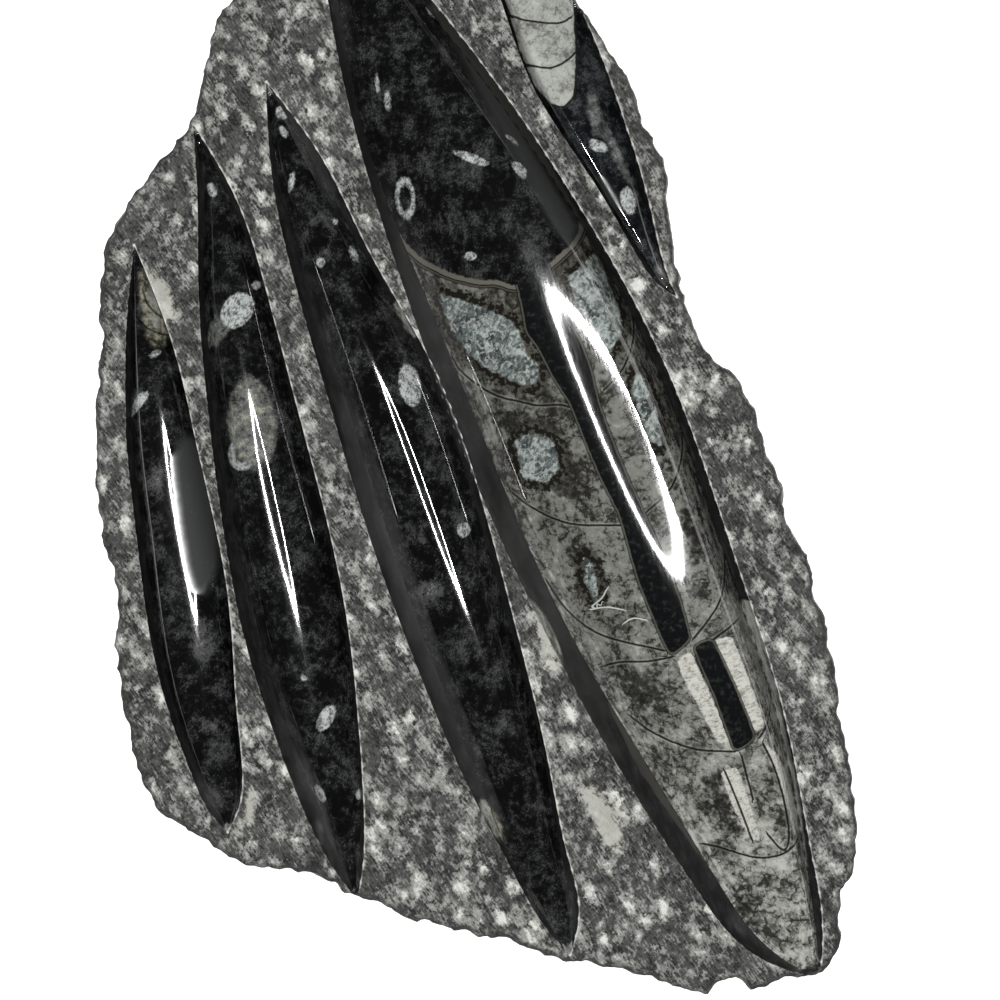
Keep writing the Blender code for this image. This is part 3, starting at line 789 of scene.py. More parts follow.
    def face_points(self) -> tuple[np.ndarray, list[tuple[int, int]]]:
        """The carved face's points and the edges its mesh keeps, the border's points first."""
        s = self.sizes
        border = self.border
        kept = [border]
        edges = [(i, (i + 1) % len(border)) for i in range(len(border))]
        count = len(border)
        safe = inset(self.outline, s.edge_inset + s.line_clear)
        for relief in self.reliefs:
            for number in range(4):
                ends = (0.0, 1.0) if number in (0, 3) else (s.tip_share, 1 - s.tip_share)
                line = relief.line(number, s.line_step, *ends)
                held = inside_ring(line, safe)
                for i in range(1, len(line)):
                    if held[i] and held[i - 1]:
                        edges.append((count + i - 1, count + i))
                kept.append(line)
                count += len(line)
        fixed = np.vstack(kept)
        alive = np.ones(len(fixed), bool)
        alive[len(border):] = inside_ring(fixed[len(border):], safe)
        number = np.cumsum(alive) - 1
        edges = [(int(number[a]), int(number[b])) for a, b in edges if alive[a] and alive[b]]
        fixed = fixed[alive]
        spread = np.random.default_rng(s.seed)
        fill = []
        for step, zones in (
            (s.body_step, (Zone.BLACK, Zone.CHAMBERED, Zone.PALE)),
            (s.wall_step, (Zone.GROUND,)),
            (s.face_step, (Zone.PECKED,)),
        ):
            row = step * math.sqrt(0.75)
            ys = np.arange(-152, 152, row)
            xs = np.arange(-100, 100, step)
            x, y = np.meshgrid(xs, ys)
            x = x + (np.arange(len(ys)) % 2)[:, None] * step / 2
            grid = np.stack((x.ravel(), y.ravel()), axis=1)
            if Zone.PECKED in zones:
                grid += spread.uniform(-0.18, 0.18, grid.shape) * step
            grid = grid[inside_ring(grid, safe)]
            zone = self.zones(grid)
            grid = grid[np.isin(zone, [z.value for z in zones])]
            fill.append(grid[nearest(grid, fixed) > step * s.line_share])
        return np.vstack((fixed, *fill)), edges

    def zones(self, points: np.ndarray) -> np.ndarray:
        """The zone of each point."""
        zone = np.full(len(points), Zone.PECKED.value)
        flat = np.zeros(len(points))
        for relief in self.reliefs:
            _, inside, body = relief.height(points, flat)
            zone[inside & (zone == Zone.PECKED.value)] = Zone.GROUND.value
            share = relief.locate(points)[0]
            zone[body & (share > self.sizes.bare_tip) & (share < 1 - self.sizes.bare_tip)] = relief.spear.zone.value
        return zone

    def build(self) -> bpy.types.Object:
        """Models the stone.

        Returns:
            The stone's object, with its marks as attributes and no materials yet.
        """
        points, edges = self.face_points()
        flat, _, faces, *_ = geometry.delaunay_2d_cdt([Vector(p) for p in points], edges, [], 1, 1e-5)
        places = np.array([tuple(p) for p in flat])
        LOG.info("carved face: %d points, %d triangles", len(places), len(faces))
        found = self.survey(places)
        mesh = bpy.data.meshes.new("carved_orthoceras_slab")
        mesh.from_pydata(np.column_stack((places, found.pop("height"))).tolist(), [], faces)
        stone = bpy.data.objects.new("carved_orthoceras_slab", mesh)
        bpy.context.scene.collection.objects.link(stone)
        corners = np.array(faces)
        middles = places[corners].mean(axis=1)
        zones = self.zones(middles)
        mesh.attributes.new("zone", "INT", "FACE").data.foreach_set("value", zones.astype(np.int32))
        found.pop("zone")
        for name, values in found.items():
            mesh.attributes.new(name, "FLOAT", "POINT").data.foreach_set("value", values.astype(np.float32))
        self.add_sides(stone, len(self.border))
        return stone

    def side_ring(self, share: float) -> np.ndarray:
        """The ring of the side at a share of the thickness, 0 at the back."""
        s = self.sizes
        ring = smoothed(self.outline, round(s.side_smoothing * (1 - share)))
        ring = inset(ring, s.back_inset * (1 - share) ** 2)
        places = np.column_stack((ring, np.full(len(ring), s.thickness * share)))
        strength = s.side_roughness * min(1.0, share / 0.12)
        for i, place in enumerate(places):
            broken = noise.noise_vector(Vector(place) / s.side_break) * strength
            broken += noise.noise_vector(Vector(place) / s.side_break * 2.7) * strength * 0.45
            places[i] = Vector(place) + broken
        places[:, 2] = np.maximum(places[:, 2], 0.35)
        return places

    def add_sides(self, stone: bpy.types.Object, count: int) -> None:
        """Draws the broken sides down from the face's border and closes the sawn back.

        Args:
            stone: the object, holding the carved face alone.
            count: how many points its border has; they are its first.
        """
        s = self.sizes
        for each in bpy.context.selected_objects:
            each.select_set(False)
        bpy.context.view_layer.objects.active = stone
        stone.select_set(True)
        rings = [np.column_stack((self.outline, np.full(len(self.outline), s.thickness - s.widest_below_face)))]
        rings += [self.side_ring(share) for share in s.side_levels]
        back = inset(smoothed(self.outline, s.side_smoothing), s.back_inset)
        rings.append(np.column_stack((back, np.zeros(len(back)))))
        bpy.ops.object.mode_set(mode="EDIT")
        bpy.ops.mesh.select_mode(type="VERT")
        shape = bmesh.from_edit_mesh(stone.data)
        shape.verts.ensure_lookup_table()
        bpy.ops.mesh.select_all(action="DESELECT")
        bpy.ops.mesh.select_mode(type="EDGE")
        for line in shape.edges:
            line.select_set(line.is_boundary)
        number = {tuple(vert.co): vert.index for vert in shape.verts[:count]}
        bmesh.update_edit_mesh(stone.data)
        for ring in rings:
            bpy.ops.mesh.extrude_edges_move()
            shape = bmesh.from_edit_mesh(stone.data)
            moved = {}
            for vert in (vert for vert in shape.verts if vert.select):
                place = number[tuple(vert.co)]
                vert.co = ring[place]
                vert[shape.verts.layers.float["edge"]] = s.edge_round
                for rim in ("left_rim", "right_rim"):
                    vert[shape.verts.layers.float[rim]] = 60.0
                moved[tuple(vert.co)] = place
            number = moved
            bmesh.update_edit_mesh(stone.data)
        bpy.ops.mesh.edge_face_add()
        bpy.ops.mesh.select_all(action="SELECT")
        bpy.ops.mesh.normals_make_consistent(inside=False)
        shape = bmesh.from_edit_mesh(stone.data)
        zone = shape.faces.layers.int["zone"]
        for face in shape.faces:
            face.smooth = True
            if len(face.verts) == 4:
                face[zone] = Zone.PECKED.value
            elif len(face.verts) > 4:
                face[zone] = Zone.SAWN.value
            face.material_index = face[zone]
        for line in shape.edges:
            kinds = {face.material_index for face in line.link_faces}
            line.smooth = len(kinds) == 1
        bmesh.update_edit_mesh(stone.data)
        bpy.ops.object.mode_set(mode="OBJECT")
        stone.data.transform(Matrix.Scale(MM, 4))


def linear(colour: str) -> tuple[float, float, float, float]:
    """A linear colour from an sRGB hex value such as "#3c3b38"."""
    parts = [int(colour[i : i + 2], 16) / 255 for i in (1, 3, 5)]
    return (*(c / 12.92 if c <= 0.04045 else ((c + 0.055) / 1.055) ** 2.4 for c in parts), 1.0)


class Finish:
    """A material and the nodes that draw it."""

    def __init__(self, name: str) -> None:
        """Starts an empty material with its shader and the place on the stone in millimetres."""
        self.material = bpy.data.materials.new(name)
        self.material.use_nodes = True
        self.tree = self.material.node_tree
        self.tree.nodes.clear()
        self.shader = self.tree.nodes.new("ShaderNodeBsdfPrincipled")
        output = self.tree.nodes.new("ShaderNodeOutputMaterial")
        self.tree.links.new(self.shader.outputs[0], output.inputs["Surface"])
        place = self.add("TexCoord", out="Object")
        self.place = self.add("VectorMath", {0: place, "Scale": 1 / MM}, operation="SCALE")

    def add(self, kind: str, inputs: dict | None = None, out: str | None = None, **settings) -> bpy.types.NodeSocket:
        """Adds a node with its settings and links.

        Args:
            kind: the node's type, without its ShaderNode prefix.
            inputs: what each input takes, by its name or number: a socket to link or a value.
            out: the name of the output to return; the first one in use where it isn't given.
            **settings: the node's own properties.

        Returns:
            The output.
        """
        made = self.tree.nodes.new("ShaderNode" + kind)
        for name, value in settings.items():
            setattr(made, name, value)
        for name, value in (inputs or {}).items():
            if isinstance(value, bpy.types.NodeSocket):
                self.tree.links.new(value, made.inputs[name])
            else:
                made.inputs[name].default_value = value
        if out:
            return made.outputs[out]
        return next(socket for socket in made.outputs if socket.enabled)

    def shape(self, inputs: dict[str, object]) -> None:
        """Sets or links the shader's own inputs."""
        for name, value in inputs.items():
            if isinstance(value, bpy.types.NodeSocket):
                self.tree.links.new(value, self.shader.inputs[name])
            else:
                self.shader.inputs[name].default_value = value

    def sum_of(self, *parts: tuple[bpy.types.NodeSocket | str, float, float]) -> bpy.types.NodeSocket:
        """Adds up values, each less its own middle and times its own share.

        Args:
            *parts: the values, or the names of the surface's attributes, with their middles and shares.

        Returns:
            The sum.
        """
        whole = -sum(middle * share for _, middle, share in parts)
        for value, _, share in parts:
            if isinstance(value, str):
                value = self.add("Attribute", out="Fac", attribute_name=value)
            whole = self.add("Math", {0: value, 1: share, 2: whole}, operation="MULTIPLY_ADD")
        return whole

    def ragged(self, distance: bpy.types.NodeSocket | str, amount: float, size: float) -> bpy.types.NodeSocket:
        """A mark's distance made uneven, so that its edge is ragged.

        Args:
            distance: the distance, or the mark's name.
            amount: how far the edge strays, in millimetres.
            size: the size of the strayings, in millimetres.

        Returns:
            The uneven distance.
        """
        if isinstance(distance, str):
            distance = self.add("Attribute", out="Fac", attribute_name=distance)
        grain = self.add("TexNoise", {"Vector": self.place, "Scale": 1 / size, "Detail": 3.0, "Roughness": 0.6})
        stray = self.add("Math", {0: grain, 1: 0.5}, operation="SUBTRACT")
        return self.add("Math", {0: stray, 1: amount * 3, 2: distance}, operation="MULTIPLY_ADD")

    def layer(
        self,
        base: bpy.types.NodeSocket,
        cover: bpy.types.NodeSocket | str,
        value: bpy.types.NodeSocket,
        full: float,
        none: float,
        most: float = 1.0,
    ) -> bpy.types.NodeSocket:
        """Covers a colour with another one where a value lies on one side of a limit.

        Args:
            base: the colour below.
            cover: the colour above, or its hex value.
            value: what decides.
            full: the value at which the cover is all there.
            none: the value at which it is gone.
            most: its share where it is all there.

        Returns:
            The colour.
        """
        low, high = sorted((full, none))
        ends = (most, 0.0) if full < none else (0.0, most)
        share = self.add(
            "MapRange", {0: value, 1: low, 2: high, 3: ends[0], 4: ends[1]}, interpolation_type="SMOOTHSTEP"
        )
        over = linear(cover) if isinstance(cover, str) else cover
        return self.add("Mix", {0: share, 6: base, 7: over}, data_type="RGBA", clamp_factor=True)

    def streaks(self, size: float, stretch: float, turn: float, detail: float = 4.0) -> bpy.types.NodeSocket:
        """Noise drawn out along one direction.

        Args:
            size: the streaks' width in millimetres.
            stretch: how many times longer than wide they are.
            turn: degrees anticlockwise from upright.
            detail: octaves of finer noise.

        Returns:
            The noise, from 0 to 1.
        """
        turned = self.add(
            "Mapping", {"Vector": self.place, "Rotation": (0.0, 0.0, -math.radians(turn))}, vector_type="POINT"
        )
        drawn = self.add("Mapping", {"Vector": turned, "Scale": (1 / size, 1 / size / stretch, 1 / size)})
        return self.add("TexNoise", {"Vector": drawn, "Scale": 1.0, "Detail": detail, "Roughness": 0.62})


@dataclass(frozen=True)
class PeckedLimestone:
    """Black limestone dressed with a pick: matt dark grey, with off-white bruises where it was struck."""

    name: str = "pecked_black_limestone"
    # the darkest tone; it is also laid as painted shade in the deepest pits and along the worn outline
    pit: str = "#161615"
    dark: str = "#454543"
    grey: str = "#666663"
    bruise: str = "#8f8f8a"
    crushed: str = "#dadad4"
    calcite: str = "#b4b4ab"
    roughness: float = 0.78

    def blows(self, f: Finish, spacing: float, turn: float, least: float) -> bpy.types.NodeSocket:
        """Soft smears of crushed stone where the pick's point landed, each of its own strength.

        Args:
            f: the finish that the nodes are for.
            spacing: how far apart the blows are, in millimetres.
            turn: degrees anticlockwise from upright of the smears' long way.
            least: share of the blows too weak to show.

        Returns:
            The crushing, from 0 to about 1.
        """
        stray = f.add("TexNoise", {"Vector": f.place, "Scale": 1.6 / spacing, "Detail": 4.0, "Roughness": 0.65},
                      out="Color")
        stray = f.add("VectorMath", {0: stray, 1: (0.5, 0.5, 0.5)}, operation="SUBTRACT")
        place = f.add("VectorMath", {0: stray, 1: (spacing * 1.5,) * 3, 2: f.place}, operation="MULTIPLY_ADD")
        turned = f.add("Mapping", {"Vector": place, "Rotation": (0.0, 0.0, -math.radians(turn))})
        drawn = f.add("Mapping", {"Vector": turned, "Scale": (1 / spacing, 0.6 / spacing, 1 / spacing)})
        near = f.add("TexVoronoi", {"Vector": drawn, "Scale": 1.0, "Randomness": 1.0})
        own = f.add("TexVoronoi", {"Vector": drawn, "Scale": 1.0, "Randomness": 1.0}, out="Color")
        strength = f.add("MapRange", {0: own, 1: least, 2: 1.0, 3: 0.0, 4: 1.0})
        smear = f.add("MapRange", {0: near, 1: 0.1, 2: 0.72, 3: 1.0, 4: 0.0})
        return f.add("Math", {0: smear, 1: strength}, operation="MULTIPLY")

    def make(self) -> bpy.types.Material:
        """Builds the material."""
        f = Finish(self.name)
        broad = f.add("TexNoise", {"Vector": f.place, "Scale": 1 / 11.0, "Detail": 2.0, "Roughness": 0.6})
        cloud = f.add("TexNoise", {"Vector": f.place, "Scale": 1 / 2.4, "Detail": 5.0, "Roughness": 0.62})
        fibre = f.streaks(0.5, 4.5, 34.0, detail=3.0)
        cross = f.streaks(0.5, 2.2, -40.0, detail=3.0)
        grit = f.add("TexNoise", {"Vector": f.place, "Scale": 1 / 0.7, "Detail": 3.0, "Roughness": 0.8})
        thread = f.sum_of((fibre, 0.5, 2.0), (cross, 0.5, 0.9), (grit, 0.5, 1.2))
        # The deep term darkens the stone where the pick's pits are deeper: painted shade in the pits, over the stone's
        # own dark tone.
        plain = f.sum_of((thread, 0, 1.7), (cloud, 0.5, 2.5), (broad, 0.5, 1.5), ("deep", 0.4, -0.35))
        colour = f.layer(linear(self.pit), self.dark, plain, 0.1, -0.75)
        colour = f.layer(colour, self.grey, plain, 1.0, 0.1, 0.85)
        struck = f.sum_of(
            (self.blows(f, 3.6, 30.0, 0.1), 0, 1.7), (self.blows(f, 1.9, -20.0, 0.2), 0, 0.9),
            (thread, 0, 0.85), (cloud, 0.5, 1.2), (broad, 0.5, 0.9), ("deep", 0.4, -0.2), ("bruise", 0, 0.45),
        )  # fmt: skip
        colour = f.layer(colour, self.bruise, struck, 0.85, 0.25, 0.95)
        colour = f.layer(colour, self.crushed, struck, 1.65, 0.8, 0.95)
        calcite = f.ragged("calcite", 1.3, 3.0)
        calcite = f.sum_of((calcite, 0, 1.0), (struck, 0, -1.5))
        colour = f.layer(colour, self.calcite, calcite, -2.2, -0.4, 0.8)
        left = f.ragged("left_rim", 0.12, 1.5)
        colour = f.layer(colour, self.bruise, left, 0.05, 0.4, 0.6)
        colour = f.layer(colour, self.crushed, f.ragged("right_rim", 0.15, 1.6), 0.1, 0.6, 0.85)
        # Painted shade: the pecked face turns darker within about 2.6 mm of the outline, on the worn edge.
        colour = f.layer(colour, self.pit, f.ragged("edge", 0.5, 2.4), 0.3, 2.6, 0.85)
        height = f.add("Math", {0: thread, 1: 1.0, 2: grit}, operation="MULTIPLY_ADD")
        bump = f.add("Bump", {"Height": height, "Strength": 0.8, "Distance": 0.35 * MM})
        f.shape({"Base Color": colour, "Roughness": self.roughness, "IOR": 1.5, "Normal": bump})
        return f.material


@dataclass(frozen=True)
class GroundLimestone:
    """The trough's walls, cut with a grinding wheel and left unpolished: smooth satin dark grey."""

    name: str = "ground_black_limestone"
    dark: str = "#090909"
    pale: str = "#191919"
    haze: str = "#3c3c3a"
    sheen_facet: str = "#31302c"
    line: str = "#8a8a84"
    # painted highlight along the right rims
    painted_rim_highlight: str = "#e2e2dc"
    roughness: float = 0.45

    def make(self) -> bpy.types.Material:
        """Builds the material."""
        f = Finish(self.name)
        streak = f.streaks(1.1, 14.0, 18.0)
        cloud = f.streaks(1.9, 2.4, 18.0, detail=5.0)
        grain = f.add("TexNoise", {"Vector": f.place, "Scale": 1 / 0.45, "Detail": 3.0, "Roughness": 0.7})
        # The right_wall term makes the walls right of each body lighter: painted reflection.
        tone = f.sum_of((streak, 0.5, 1.5), (cloud, 0.5, 2.2), (grain, 0.5, 1.2), ("right_wall", 0.0, 0.15))
        colour = f.layer(linear(self.dark), self.pale, tone, 0.3, -0.3)
        colour = f.layer(colour, self.haze, tone, 1.0, 0.25, 0.8)
        pale = f.layer(linear("#35342f"), "#a2a39c", tone, 0.5, -0.5)
        colour = f.layer(colour, pale, f.ragged("calcite", 0.25, 2.0), -0.4, 0.3, 0.9)
        # Painted sheen: a grey-brown facet where the polish is duller.
        colour = f.layer(colour, self.sheen_facet, f.ragged("dull", 0.2, 3.0), 0.0, 0.5, 0.9)
        # Painted shade: the walls darken towards the groove at the body's foot.
        foot = f.ragged("foot", 0.1, 3.0)
        colour = f.layer(colour, self.dark, foot, 0.2, 0.5, 0.85)
        colour = f.layer(colour, self.line, f.ragged("left_rim", 0.05, 2.0), 0.02, 0.26, 0.8)
        # Painted highlight: a near-white line on the walls along the right rims.
        colour = f.layer(colour, self.painted_rim_highlight, f.ragged("right_rim", 0.05, 2.0), 0.04, 0.3, 0.85)
        bump = f.add("Bump", {"Height": streak, "Strength": 0.25, "Distance": 0.15 * MM})
        f.shape({"Base Color": colour, "Roughness": self.roughness, "IOR": 1.5, "Normal": bump})
        return f.material


@dataclass(frozen=True)
class PolishedLimestone:
    """Polished black limestone: close to black and glossy, with grey clouds and bits of white shell."""

    name: str = "polished_black_limestone"
    black: str = "#050506"
    cloud: str = "#1c1d1e"
    dust: str = "#454645"
    shell: str = "#a9aeac"
    dull: str = "#5b5d5b"
    # painted sheen: the grey laid where the polish is duller
    haze: str = "#212222"
    olive: str = "#26251c"
    cream: str = "#8f8d7e"
    roughness: float = 0.045
    dull_roughness: float = 0.85

    def ground(self, f: Finish) -> bpy.types.NodeSocket:
        """The black rock's colour, with all that lies in it."""
        cloud = f.add("TexNoise", {"Vector": f.place, "Scale": 1 / 7.0, "Detail": 4.0, "Roughness": 0.6})
        mist = f.add("TexNoise", {"Vector": f.place, "Scale": 1 / 1.7, "Detail": 4.0, "Roughness": 0.65})
        grain = f.add("TexNoise", {"Vector": f.place, "Scale": 1 / 0.42, "Detail": 2.0, "Roughness": 0.7})
        fibre = f.streaks(0.4, 3.0, -32.0, detail=3.0)
        haze = f.sum_of((cloud, 0.5, 2.0), (mist, 0.5, 1.6))
        colour = f.layer(linear(self.black), self.cloud, haze, 0.5, -0.25)
        within = f.add("MapRange", {0: f.ragged("shade", 0.6, 2.0), 1: -1.6, 2: 0.9, 3: 1.0, 4: 0.0})
        # Where the polish is duller the colour turns grey: painted sheen, beside the real rougher polish set in
        # polish().
        dull = f.add("MapRange", {0: f.ragged("dull", 0.8, 3.0), 1: -1.8, 2: 0.8, 3: 1.0, 4: 0.0})
        colour = f.add("Mix", {0: dull, 6: colour, 7: linear(self.haze)}, data_type="RGBA")
        dust = f.sum_of(
            (grain, 0.5, 2.0), (fibre, 0.5, 1.5), (mist, 0.5, 1.9), (cloud, 0.5, 2.4), (within, 0, 0.8),
            (dull, 0, -0.35),
        )  # fmt: skip
        colour = f.layer(colour, self.dust, dust, 1.1, -0.05)
        colour = f.layer(colour, self.shell, dust, 2.1, 1.0, 0.8)
        thread = f.sum_of((fibre, 0.5, 2.2), (grain, 0.5, 1.0), (mist, 0.5, 2.6))
        shell = f.layer(linear(self.dull), self.shell, thread, 0.35, -0.4)
        shell = f.layer(shell, self.cloud, thread, -0.75, -0.35, 0.8)
        colour = f.layer(colour, shell, f.ragged("fleck", 0.3, 0.9), -0.15, 0.4)
        blotch = f.sum_of((mist, 0.5, 3.0), (grain, 0.5, 1.5), (cloud, 0.5, 1.5))
        olive = f.layer(linear(self.olive), self.dull, blotch, 0.0, -0.6)
        olive = f.layer(olive, self.cream, blotch, 0.75, 0.0)
        colour = f.layer(colour, olive, f.ragged("pocket", 0.8, 1.8), -1.2, 0.5, 0.92)
        pale = f.layer(linear(self.olive), self.cream, f.sum_of((cloud, 0.5, 1.5), (mist, 0.5, 2.5)), 0.5, -0.5)
        pale = f.layer(pale, self.shell, f.add("Attribute", out="Fac", attribute_name="calcite"), -3.6, -1.5, 0.55)
        colour = f.layer(colour, pale, f.ragged("calcite", 0.5, 2.0), -0.8, 0.6, 0.95)
        return self.thin_line(f, colour, "septum", self.black, 0.1, 0.4, 0.8)

    def thin_line(
        self, f: Finish, colour: bpy.types.NodeSocket, name: str, cover: str, full: float, none: float, most: float
    ) -> bpy.types.NodeSocket:
        """Lays a drawn line over the colour.

        Args:
            f: the finish that the nodes are for.
            colour: the colour below.
            name: the name of the line's mark.
            cover: the line's colour.
            full: the distance up to which it covers fully, in millimetres.
            none: the distance at which it is gone.
            most: its share where it covers fully.

        Returns:
            The colour.
        """
        side = f.add("Math", {0: f.ragged(name + "_side", 0.1, 2.0)}, operation="ABSOLUTE")
        near = f.add("Attribute", out="Fac", attribute_name=name)
        apart = f.add("MapRange", {0: near, 1: 0.9, 2: 1.5, 3: 0.0, 4: 60.0})
        return f.layer(colour, cover, f.add("Math", {0: side, 1: apart}), full, none, most)

    def make(self) -> bpy.types.Material:
        """Builds the material."""
        f = Finish(self.name)
        colour = self.ground(f)
        self.polish(f, colour)
        return f.material

    def polish(self, f: Finish, colour: bpy.types.NodeSocket) -> None:
        """Gives the surface its gloss, with the fine scratches of the felt."""
        scratch = f.streaks(0.35, 12.0, 16.0)
        rough = f.add("MapRange", {0: scratch, 1: 0.3, 2: 0.75, 3: self.roughness * 0.7, 4: self.roughness * 1.5})
        dull = f.add("MapRange", {0: f.ragged("dull", 0.3, 2.4), 1: -2.6, 2: 0.3, 3: self.dull_roughness, 4: 0.0})
        rough = f.add("Math", {0: rough, 1: dull}, operation="MAXIMUM")
        bump = f.add("Bump", {"Height": scratch, "Strength": 0.05, "Distance": 0.012 * MM})
        f.shape({"Base Color": colour, "Roughness": rough, "IOR": 1.58, "Normal": bump})


@dataclass(frozen=True)
class ChamberedLimestone(PolishedLimestone):
    """The large orthoceras: black mud in its living chamber, then chambers of calcite and crystal."""

    name: str = "polished_chambered_calcite"
    calcite: str = "#6c6d67"
    dusk: str = "#383732"
    chalk: str = "#a9aba4"
    cream: str = "#b7b6ae"
    crystal: str = "#555c5b"
    ice: str = "#979f9c"
    deep_crystal: str = "#2a3030"
    border: str = "#403f38"
    teeth: str = "#13110d"
    stain: str = "#1b1a17"
    line: str = "#11110f"
    flow: float = 4.5  # how strongly the sides' streaks show
    cracked: float = 1.0  # how strongly the cracks show
    pale_from: float = 215.0  # how far down the spear its calcite gets paler
    paling: float = 0.006

    def chambers(self, f: Finish) -> bpy.types.NodeSocket:
        """The calcite's colour, with crystals, stains and cracks."""
        cloud = f.add("TexNoise", {"Vector": f.place, "Scale": 1 / 6.5, "Detail": 4.0, "Roughness": 0.6})
        mist = f.add("TexNoise", {"Vector": f.place, "Scale": 1 / 1.5, "Detail": 4.0, "Roughness": 0.6})
        grain = f.add("TexNoise", {"Vector": f.place, "Scale": 1 / 0.42, "Detail": 2.0, "Roughness": 0.7})
        foot = f.add("Attribute", out="Fac", attribute_name="foot")
        far = f.add("Attribute", out="Fac", attribute_name="along")
        flow = f.add("CombineXYZ", {0: foot, 1: f.add("Math", {0: far, 1: 0.07}, operation="MULTIPLY")})
        flow = f.add("TexNoise", {"Vector": flow, "Scale": 1 / 0.9, "Detail": 3.0, "Roughness": 0.6})
        flow = f.add("Math", {0: flow, 1: 0.5}, operation="SUBTRACT")
        beside = f.add("MapRange", {0: foot, 1: 0.0, 2: 7.0, 3: self.flow, 4: 0.0})
        flow = f.add("Math", {0: flow, 1: beside}, operation="MULTIPLY")
        tone = f.sum_of(
            (cloud, 0.5, 2.6), (mist, 0.5, 1.8), (grain, 0.5, 0.7), (flow, 0, 1.0),
            ("along", self.pale_from, self.paling),
        )  # fmt: skip
        colour = f.layer(linear(self.dusk), self.calcite, tone, 0.0, -0.9)
        colour = f.layer(colour, self.chalk, tone, 1.2, 0.0)
        for size, full, most in ((3.6, 0.05, 0.8), (1.6, 0.0, 0.55)):
            crack = f.sum_of(
                (self.cells(f, size, "DISTANCE_TO_EDGE"), 0, size), (mist, 0.44, 0.9), (cloud, 0.5, 1.6)
            )
            colour = f.layer(colour, self.stain, crack, full, full + 0.3, most * self.cracked)
        stained = f.add("MapRange", {0: f.ragged("stain", 1.2, 2.2), 1: -2.0, 2: 1.2, 3: 1.0, 4: 0.0})
        stained = f.sum_of((stained, 0, 1.1), (mist, 0.5, -2.6), (flow, 0, -1.0), (cloud, 0.5, -1.2))
        colour = f.layer(colour, self.stain, stained, 1.15, 0.15, 0.85)
        colour = self.crystals(f, colour, mist, grain)
        across = f.streaks(0.35, 6.0, -66.0, detail=2.0)
        band = f.sum_of((across, 0.5, 2.2), (grain, 0.5, 1.2), (mist, 0.5, 2.2))
        band = f.layer(linear(self.cream), self.calcite, band, -0.8, 0.3)
        return f.layer(colour, band, f.ragged("strip", 0.35, 1.2), -0.1, 0.3)

    def cells(self, f: Finish, size: float, feature: str) -> bpy.types.NodeSocket:
        """Ragged cells of a given size in millimetres: distances to their edges, or a value for each."""
        stray = f.add("TexNoise", {"Vector": f.place, "Scale": 1.1 / size, "Detail": 3.0}, out="Color")
        stray = f.add("VectorMath", {0: stray, 1: (0.5, 0.5, 0.5)}, operation="SUBTRACT")
        place = f.add("VectorMath", {0: stray, 1: (size * 1.6,) * 3, 2: f.place}, operation="MULTIPLY_ADD")
        if feature == "DISTANCE_TO_EDGE":
            return f.add("TexVoronoi", {"Vector": place, "Scale": 1 / size}, out="Distance", feature=feature)
        return f.add("TexVoronoi", {"Vector": place, "Scale": 1 / size}, out="Color")

    def crystals(
        self, f: Finish, colour: bpy.types.NodeSocket, mist: bpy.types.NodeSocket, grain: bpy.types.NodeSocket
    ) -> bpy.types.NodeSocket:
        """Adds the pockets of broken clear crystal, each in a brown border with dark teeth.

        Args:
            f: the finish that the nodes are for.
            colour: the calcite's colour round them.
            mist: noise of 1.5 mm.
            grain: noise of 0.4 mm.

        Returns:
            The colour.
        """
        near = f.ragged("geode", 0.75, 2.2)
        colour = f.layer(colour, self.border, near, 1.4, 3.2, 0.9)
        tooth = f.add("Math", {0: near, 1: 1.1}, operation="SUBTRACT")
        tooth = f.add("Math", {0: tooth}, operation="ABSOLUTE")
        spot = f.add("TexNoise", {"Vector": f.place, "Scale": 1 / 1.2, "Detail": 2.0, "Roughness": 0.5})
        tooth = f.sum_of((tooth, 0, 0.55), (spot, 0.5, 4.4), (grain, 0.5, 1.2))
        colour = f.layer(colour, self.teeth, tooth, 0.25, 0.65, 0.95)
        shard = f.streaks(0.7, 3.5, -40.0, detail=3.0)
        glint = f.sum_of(
            (self.cells(f, 3.0, "F1"), 0.5, 1.5), (mist, 0.5, 1.5), (grain, 0.5, 0.6), (shard, 0.5, 2.6)
        )
        ice = f.layer(linear(self.crystal), self.ice, glint, 0.8, -0.2)
        ice = f.layer(ice, self.deep_crystal, glint, -0.8, -0.1, 0.95)
        seam = f.sum_of((self.cells(f, 2.4, "DISTANCE_TO_EDGE"), 0, 2.4), (grain, 0.5, 0.6), (spot, 0.5, 1.6))
        ice = f.layer(ice, self.chalk, seam, -0.02, 0.12, 0.6)
        return f.layer(colour, ice, near, -0.2, 0.45)

    def walls(self, f: Finish, colour: bpy.types.NodeSocket) -> bpy.types.NodeSocket:
        """The thin dark lines of the chamber walls, over the colour."""
        colour = self.thin_line(f, colour, "septum", self.cream, 0.4, 0.8, 0.12)
        return self.thin_line(f, colour, "septum", self.line, 0.16, 0.38, 0.95)

